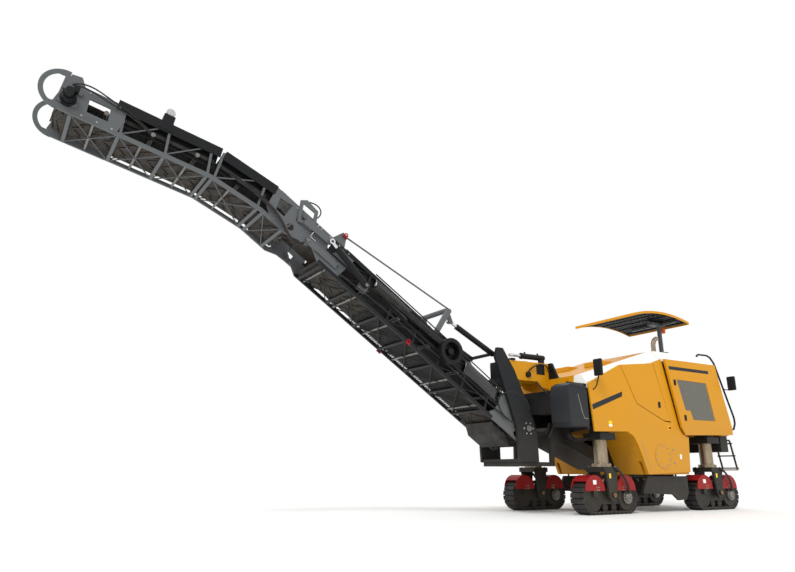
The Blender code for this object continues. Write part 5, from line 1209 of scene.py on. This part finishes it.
# the dust fan: a rolled ring with a hub and twisted blades, and its flexible duct
FAN_BLADES = 9
BLADE_TWIST = 0.5
FAN = from_legs(2.99, 0.0, 2.62)
shape = bmesh.new()
mouth = arc((FAN.x, FAN.z), 0.15, 0, 352.5, 47)
pierced(shape, arc((FAN.x, FAN.z), 0.22, 0, 352.5, 47), [mouth], 0.438, 0.568, "Y")
rod(shape, (FAN.x, 0.44, FAN.z), (FAN.x, 0.54, FAN.z), 0.055, 32)
for number in range(FAN_BLADES):
    turn = Matrix.Translation((FAN.x, 0.47, FAN.z)) @ Matrix.Rotation(number * math.tau / FAN_BLADES, 4, "Y")
    turn = turn @ Matrix.Rotation(BLADE_TWIST, 4, "X")
    block(shape, (-0.02, 0.02), (-0.004, 0.004), (0.04, 0.155), turn)
plate(shape, arc((FAN.x, FAN.z), 0.16, 0, 348, 29), 0.438, 0.446, "Y")
fan = piece("fan_housing", shape, "conveyor_lower", BLACK, 0.006, 3)
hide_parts("dust_fan")
DUCT_Y = 0.4879
DUCT_RIBS = 52
first, last = Vector((2.15, DUCT_Y, 0.10)), Vector((3.70, DUCT_Y, 0.03))
shape = bmesh.new()
for number in range(DUCT_RIBS):
    place = first.lerp(last, number / DUCT_RIBS)
    if (LOWER @ place - Vector((FAN.x, DUCT_Y, FAN.z))).length < 0.2:
        continue
    waist = LOWER @ first.lerp(last, (number + 0.55) / DUCT_RIBS)
    rod(shape, LOWER @ place, waist, 0.052, 20)
    rod(shape, waist, LOWER @ first.lerp(last, (number + 1) / DUCT_RIBS), 0.044, 20)
piece("fan_duct", shape, "conveyor_lower", HOSE)

# hydraulic hoses along the side, the big loop at the foot, and the red shackle eyes
runs = [
    route(
        LOWER, (0.15, 0.47, 0.02), (0.05, 0.50, 0.30), (0.30, 0.50, 0.48), (0.70, 0.50, 0.30),
        (0.85, 0.50, 0.02), (0.62, 0.50, -0.16), (0.30, 0.49, -0.14), (0.15, 0.47, 0.02),
    ),
    route(
        LOWER, (0.40, 0.46, -0.10), (0.90, 0.47, -0.16), (1.8, 0.462, -0.10), (2.7, 0.462, -0.14),
        (3.6, 0.50, -0.16), (4.3, 0.47, -0.22),
    ),
    route(
        LOWER, (0.60, 0.46, 0.23), (1.3, 0.46, 0.25), (2.1, 0.46, 0.235), (2.9, 0.46, 0.245),
        (3.8, 0.46, 0.235),
    ),
    route(LOWER, (1.05, 0.46, -0.27), (1.15, 0.48, -0.40), (1.35, 0.47, -0.36), (1.50, 0.45, -0.28)),
]
hoses("lower_hoses", runs, 0.011, "conveyor_lower", HOSE)
shape = bmesh.new()
for side in (-1, 1):
    for u, w in ((2.72, -0.27), (4.56, 0.40)):
        turn = LOWER @ Matrix.Translation((u, side * 0.447, w))
        pierced(
            shape, arc((0, 0), 0.038, 0, 330, 11), [arc((0, 0), 0.02, 0, 330, 11)], -0.008, 0.008, "Y", turn
        )
        block(shape, (-0.045, 0.045), (-0.012, 0.012), (-0.05, -0.03), turn)
piece("lifting_shackles", shape, "conveyor_lower", RED, 0.003)
shape = bmesh.new()
plate(shape, [(0.30, -0.301), (0.62, -0.301), (0.46, -0.43), (0.10, -0.43)], -0.36, 0.36, "Y", LOWER)
piece("tail_skirt", shape, "conveyor_lower", RUBBER, 0.004)
heads = bmesh.new()
for u in (0.25, 0.34, 0.43, 4.35, 4.55, 4.75, 4.93):
    for side in (1, -1):
        bolts(heads, [on_lower(u, side * SIDE_OUT, 0.18 if u > 1 else 0.02)], "Y", side, 0.010)
piece("lower_plate_bolts", heads, "conveyor_lower", ZINC)


# ---------------------------------------------------------------- discharge conveyor, front section
# The same truss in a lighter grey, bent twice so that it levels out. The head end is cut plate that holds
# the driven pulley, with flat ring guards at the tip. White sheet covers the top, under a work lamp.
MID_SLOPE = math.radians(24.0)
TIP_SLOPE = math.radians(13.3)
MID = Matrix.Translation(on_lower(5.83, 0, CHORD_LOW)) @ Matrix.Rotation(-MID_SLOPE, 4, "Y")
TIP = Matrix.Translation(MID @ Vector((0.86, 0, 0))) @ Matrix.Rotation(-TIP_SLOPE, 4, "Y")
DEPTH = CHORD_TOP - CHORD_LOW


def on_mid(a, y, b):
    """A point of the middle stretch: along its bottom chord, across it and square to it."""
    return MID @ Vector((a, y, b))


def on_tip(a, y, b):
    """A point of the tip stretch, measured in the same way."""
    return TIP @ Vector((a, y, b))


frame_bars = bmesh.new()
wires = bmesh.new()
edges = bmesh.new()
white = bmesh.new()
for side in (-1, 1):
    y = sorted((side * SIDE_IN, side * SIDE_OUT))
    block(frame_bars, (5.36, 5.835), y, (CHORD_LOW, CHORD_LOW + 0.055), LOWER)
    block(frame_bars, (-0.01, 0.865), y, (0.0, 0.055), MID)
    block(frame_bars, (-0.01, 1.40), y, (0.0, 0.055), TIP)
    block(frame_bars, (-0.05, 0.82), y, (DEPTH - 0.05, DEPTH), MID)
    block(frame_bars, (-0.05, 1.45), y, (DEPTH - 0.05, DEPTH), TIP)
    band = sorted((side * (SIDE_OUT - 0.012), side * (SIDE_OUT + 0.004)))
    block(edges, (-0.08, 0.83), band, (DEPTH - 0.15, DEPTH + 0.004), MID)
    block(edges, (-0.06, 1.46), band, (DEPTH - 0.15, DEPTH + 0.004), TIP)
    inner_band = sorted((side * 0.335, side * 0.345))
    block(edges, (-0.08, 0.86), inner_band, (0.20, DEPTH - 0.02), MID)
    block(edges, (-0.04, 1.40), inner_band, (0.20, DEPTH - 0.02), TIP)
lattice(frame_bars, 0.06, 0.80, 1, 0.04, DEPTH - 0.04, MID)
lattice(frame_bars, 0.04, 1.30, 2, 0.04, DEPTH - 0.04, TIP)
under_frame(frame_bars, wires, 0.05, 0.82, 1, -0.002, MID)
under_frame(frame_bars, wires, 0.04, 1.95, 3, -0.002, TIP)
under_frame(frame_bars, wires, 5.40, 5.78, 1, CHORD_LOW - 0.002, LOWER)
front_truss = piece("front_truss", frame_bars, "conveyor_front", FRAME_GREY, 0.005)
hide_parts("conveyor_frame_front")
piece("front_truss_rods", wires, "conveyor_front", FRAME_GREY)
piece("front_side_bands", edges, "conveyor_front", BLACK, 0.002)
for first, last, turn in ((-0.06, 0.84, MID), (-0.02, 1.30, TIP)):
    roof = arc((0, DEPTH + 0.055 - 1.47), 1.47, 74, 106, 10)
    under = arc((0, DEPTH + 0.055 - 1.47), 1.464, 106, 74, 10)
    plate(white, roof + under, first, last, "X", turn)
piece("front_cover_sheets", white, "conveyor_front", WHITE, 0.002)
finish_node("conveyor_cover_front", WHITE)

# the fold's plates, with lightening holes, and the levers of the fold cylinders
shape = bmesh.new()
around = arc((FOLD_U, FOLD_W), 0.075, 100, 280, 8)
root = [
    (5.004, 0.215), (5.004, -0.035), *around, (5.12, -0.223), (5.31, -0.30), (5.62, -0.30), (5.80, -0.16),
    (5.84, 0.12), (5.90, 0.21),
]
root_holes = [
    arc((5.27, 0.05), 0.075, 0, 337.5, 15),
    arc((5.33, -0.16), 0.06, 0, 337.5, 15),
    [(5.50, -0.10), (5.66, -0.10), (5.72, 0.10), (5.50, 0.14)],
    arc((FOLD_U, FOLD_W), 0.034, 0, 337.5, 15),
]
for side in (-1, 1):
    limits = sorted((side * (SIDE_IN + 0.012), side * (SIDE_OUT - 0.0005)))
    pierced(shape, root, root_holes, *limits, "Y", LOWER)
    lever = [(5.20, 0.01), (5.20, 0.13), (4.704, 0.117), (4.659, 0.072), (4.704, 0.027)]
    plate(shape, lever, *sorted((side * 0.485, side * 0.515)), "Y", LOWER)
    block(shape, (5.06, 5.22), sorted((side * (SIDE_OUT - 0.01), side * 0.513)), (0.0, 0.14), LOWER)
    triangle = [(5.02, 0.10), (5.30, -0.02), (5.46, 0.30), (5.38, 0.38), (5.14, 0.36)]
    opening = [(5.10, 0.13), (5.28, 0.04), (5.39, 0.29), (5.17, 0.30)]
    pierced(shape, triangle, [opening], *sorted((side * 0.4385, side * 0.468)), "Y", LOWER)
piece("fold_side_plates", shape, "conveyor_front", FRAME_GREY, 0.005)

# head plates, adjusters, ring guards and rollers
RING_A, RING_B = 2.14, 0.29
shape = bmesh.new()
head = [
    (1.36, 0.0), (2.17, 0.0), (2.20, 0.10), (2.11, 0.56), (1.98, 0.58), (1.90, 0.46), (1.36, 0.46),
    (1.30, 0.23),
]
window = [(1.50, 0.13), (1.78, 0.13), (1.80, 0.33), (1.52, 0.33)]
for side in (-1, 1):
    limits = sorted((side * (SIDE_IN + 0.01), side * (SIDE_OUT + 0.003)))
    pierced(shape, head, [window], *limits, "Y", TIP)
    block(shape, (1.90, 2.16), sorted((side * SIDE_OUT, side * (SIDE_OUT + 0.03))), (0.10, 0.16), TIP)
    block(shape, (1.90, 2.16), sorted((side * SIDE_OUT, side * (SIDE_OUT + 0.03))), (0.30, 0.36), TIP)
    outside = [(RING_A - 0.02, -0.01), *arc((RING_A, RING_B), 0.30, -90, 90, 24), (RING_A - 0.02, 0.59)]
    inside = [(RING_A + 0.035, 0.085), *arc((RING_A, RING_B), 0.235, -60, 60, 18), (RING_A + 0.035, 0.495)]
    pierced(
        shape, outside, [inside], *sorted((side * (SIDE_OUT - 0.022), side * (SIDE_OUT - 0.006))), "Y", TIP
    )
piece("head_plates_and_rings", shape, "conveyor_front", FRAME_GREY, 0.003)
shape = bmesh.new()
for a, turn in ((0.43, MID), (0.25, TIP), (0.90, TIP), (1.55, TIP)):
    for along, height, radius, sides in (
        (a, ROLLER_W - CHORD_LOW, ROLLER_RADIUS, 20),
        (a + 0.1, RETURN_W - CHORD_LOW, RETURN_RADIUS, 16),
    ):
        rod(shape, turn @ Vector((along, -0.40, height)), turn @ Vector((along, 0.40, height)), radius, sides)
AXLE = (2.04, 0.182)
rod(shape, on_tip(AXLE[0], -0.32, AXLE[1]), on_tip(AXLE[0], 0.32, AXLE[1]), PULLEY_RADIUS, 40)
rod(shape, on_tip(AXLE[0], -0.46, AXLE[1]), on_tip(AXLE[0], 0.46, AXLE[1]), 0.04, 28)
rod(shape, on_lower(5.35, -0.40, ROLLER_W), on_lower(5.35, 0.40, ROLLER_W), ROLLER_RADIUS, 20)
piece("front_rollers", shape, "conveyor_front", STEEL, 0.002, 1)
shape = bmesh.new()
rod(shape, on_tip(AXLE[0], SIDE_OUT, AXLE[1]), on_tip(AXLE[0], 0.50, AXLE[1]), 0.105, 40)
rod(shape, on_tip(AXLE[0], 0.50, AXLE[1]), on_tip(AXLE[0], 0.60, AXLE[1]), 0.088, 36)
rod(shape, on_tip(AXLE[0], 0.60, AXLE[1]), on_tip(AXLE[0], 0.70, AXLE[1]), 0.058, 32)
block(shape, (AXLE[0] - 0.10, AXLE[0] - 0.02), (0.60, 0.68), (AXLE[1] + 0.03, AXLE[1] + 0.11), TIP)
rod(shape, on_tip(AXLE[0], -SIDE_OUT, AXLE[1]), on_tip(AXLE[0], -0.49, AXLE[1]), 0.075, 36)
piece("belt_motor", shape, "conveyor_front", BLACK, 0.006, 3)

# the corrugated energy chain, its hoses and the loop that hangs at the fold
shape = bmesh.new()
LINK_PITCH = 0.032
LINK_FOOT = 0.245
for first, last, turn in ((0.02, 0.86, MID), (0.0, 1.34, TIP)):
    for number in range(int((last - first) / LINK_PITCH)):
        a = first + number * LINK_PITCH
        block(shape, (a, a + 0.022), (0.352, 0.392), (LINK_FOOT, LINK_FOOT + 0.062), turn)
        block(shape, (a, a + 0.033), (0.358, 0.386), (LINK_FOOT + 0.008, LINK_FOOT + 0.054), turn)
piece("energy_chain", shape, "conveyor_front", HOSE, 0.003, 1)
runs = []
for offset in (0.0, 0.022, 0.044):
    runs.append([
        on_mid(0.62, 0.405, 0.27 - offset),
        on_mid(0.30, 0.45 + offset * 0.4, 0.24 - offset),
        on_lower(5.62, 0.492 + offset * 0.4, -0.10 - offset),
        on_lower(5.30, 0.500 + offset * 0.4, -0.34 - offset),
        on_lower(5.12, 0.500 + offset * 0.4, -0.34 - offset),
        on_lower(5.03, 0.500 + offset * 0.4, -0.24 - offset),
    ])
runs.append(
    route(
        TIP, (AXLE[0], 0.66, 0.30), (1.90, 0.60, 0.46), (1.55, 0.47, 0.42), (1.25, 0.45, 0.40),
        (0.95, 0.42, 0.27),
    )
)
runs.append(
    route(
        TIP, (AXLE[0], 0.66, 0.28), (1.92, 0.58, 0.40), (1.60, 0.47, 0.38), (1.25, 0.46, 0.36),
        (0.95, 0.42, 0.25),
    )
)
runs.append(route(LOWER, (5.10, 0.44, 0.24), (5.02, 0.46, 0.42), (5.20, 0.46, 0.50), (5.36, 0.45, 0.36)))
hoses("front_hoses", runs, 0.0105, "conveyor_front", HOSE)

shape = bmesh.new()
cleats(shape, 5.30, 5.80, BELT_UNDER - 0.006, LOWER)
cleats(shape, 0.0, 0.88, BELT_UNDER - CHORD_LOW - 0.006, MID)
cleats(shape, 0.05, 2.06, BELT_UNDER - CHORD_LOW - 0.006, TIP)
for number in range(4):
    turn = TIP @ Matrix.Translation((AXLE[0], 0, AXLE[1])) @ Matrix.Rotation(
        math.radians(-40 * number - 20), 4, "Y"
    )
    for side in (-1, 1):
        beam(shape, (0.02, side * 0.01, -0.138), (-0.05, side * 0.29, -0.136), 0.03, 0.016, turn)
piece("front_belt_ribs", shape, "conveyor_front", BELT, 0.004, 1)

shape = bmesh.new()
block(shape, (0.70, 0.86), (0.30, 0.44), (DEPTH, DEPTH + 0.13), TIP)
plate(
    shape,
    [(0.66, DEPTH - 0.12), (0.90, DEPTH - 0.12), (0.86, DEPTH + 0.02), (0.70, DEPTH + 0.02)],
    0.441,
    0.449,
    "Y",
    TIP,
)
piece("lamp_box", shape, "conveyor_front", BLACK, 0.008)
shape = bmesh.new()
rod(shape, on_tip(0.78, 0.31, DEPTH + 0.19), on_tip(0.78, 0.40, DEPTH + 0.19), 0.045, 32, 0.065)
rod(shape, on_tip(0.78, 0.36, DEPTH + 0.13), on_tip(0.78, 0.36, DEPTH + 0.16), 0.012, 12)
piece("lamp_shell", shape, "conveyor_front", STEEL, 0.003)
# clear pressed glass
LAMP_GLASS, _, lamp_shader, _ = new_material("lamp_glass")
lamp_shader.inputs["Base Color"].default_value = linear("#e8eae8")
lamp_shader.inputs["Roughness"].default_value = 0.08
lamp_shader.inputs["Transmission Weight"].default_value = 0.5
shape = bmesh.new()
rod(shape, on_tip(0.78, 0.400, DEPTH + 0.19), on_tip(0.78, 0.408, DEPTH + 0.19), 0.059, 32)
piece("lamp_lens", shape, "conveyor_front", LAMP_GLASS, 0.003)
heads = bmesh.new()
for side in (-1, 1):
    spots = [(1.42, 0.05), (1.62, 0.05), (1.82, 0.05), (1.42, 0.41), (1.62, 0.41), (1.82, 0.41)]
    bolts(heads, [on_tip(a, side * (SIDE_OUT + 0.003), b) for a, b in spots], "Y", side, 0.010)
    spots = [(5.10, -0.02), (5.12, 0.17), (5.42, 0.17), (5.42, -0.24), (5.60, -0.24)]
    bolts(heads, [on_lower(a, side * SIDE_OUT, b) for a, b in spots], "Y", side, 0.010)
piece("front_plate_bolts", heads, "conveyor_front", ZINC)


# ---------------------------------------------------------------- hoses and small iron at the nose
# Rubber hydraulic hoses run from the nose towards the front legs and the slew head, clamped to the machine.
# The slew cylinder's sleeve, the luff pin's caps and their bolts are painted or plated steel.
runs = []
for side in (-1, 1):
    for offset in (0.0, 0.035):
        run = route(
            AT_LEGS,
            (0.47, side * (0.60 + offset), 1.46),
            (0.64, side * (0.64 + offset), 1.38),
            (0.54, side * (0.68 + offset), 1.20 + offset),
            (0.30, side * (0.74 + offset), 1.23 + offset),
            (0.16, side * (0.78 + offset), 1.30),
        )
        runs.append(run)
runs.append(route(AT_LEGS, (0.50, 0.34, 2.05), (0.64, 0.42, 1.93), (0.76, 0.36, 2.12), (0.79, 0.21, 2.29)))
runs.append(
    route(AT_LEGS, (0.50, -0.34, 2.05), (0.64, -0.42, 1.93), (0.76, -0.36, 2.12), (0.79, -0.21, 2.29))
)
runs.append(route(AT_LEGS, (0.50, 0.25, 2.50), (0.62, 0.30, 2.72), (0.90, 0.28, 2.60), (1.00, 0.235, 2.48)))
hoses("nose_hoses", runs, 0.013, "machine", HOSE)
shape = bmesh.new()
rod(shape, from_legs(0.60, 0.18, 2.76), from_legs(1.10, 0.18, 2.76), 0.052, 32)
rod(shape, from_legs(1.09, 0.18, 2.76), from_legs(1.125, 0.18, 2.76), 0.058, 32)
rod(shape, from_legs(0.70, 0.18, 2.80), from_legs(0.70, 0.18, 2.84), 0.016, 16)
rod(shape, from_legs(1.02, 0.18, 2.80), from_legs(1.02, 0.18, 2.84), 0.016, 16)
piece("slew_cylinder_sleeve", shape, "machine", BLACK, 0.004)
shape = bmesh.new()
for side in (-1, 1):
    rod(shape, LUFF + Vector((0, side * ARM_FACE, 0)), LUFF + Vector((0, side * 0.530, 0)), 0.055, 32)
    rod(shape, LUFF + Vector((0, side * 0.530, 0)), LUFF + Vector((0, side * 0.538, 0)), 0.03, 6)
piece("luff_pin_caps", shape, "slew_bracket", STEEL, 0.004)
heads = bmesh.new()
for side in (-1, 1):
    for degrees in range(0, 360, 60):
        angle = math.radians(degrees)
        bolts(
            heads,
            [LUFF + Vector((0.10 * math.cos(angle), side * ARM_FACE, 0.10 * math.sin(angle)))],
            "Y",
            side,
            0.012,
        )
piece("luff_pin_bolts", heads, "slew_bracket", ZINC)
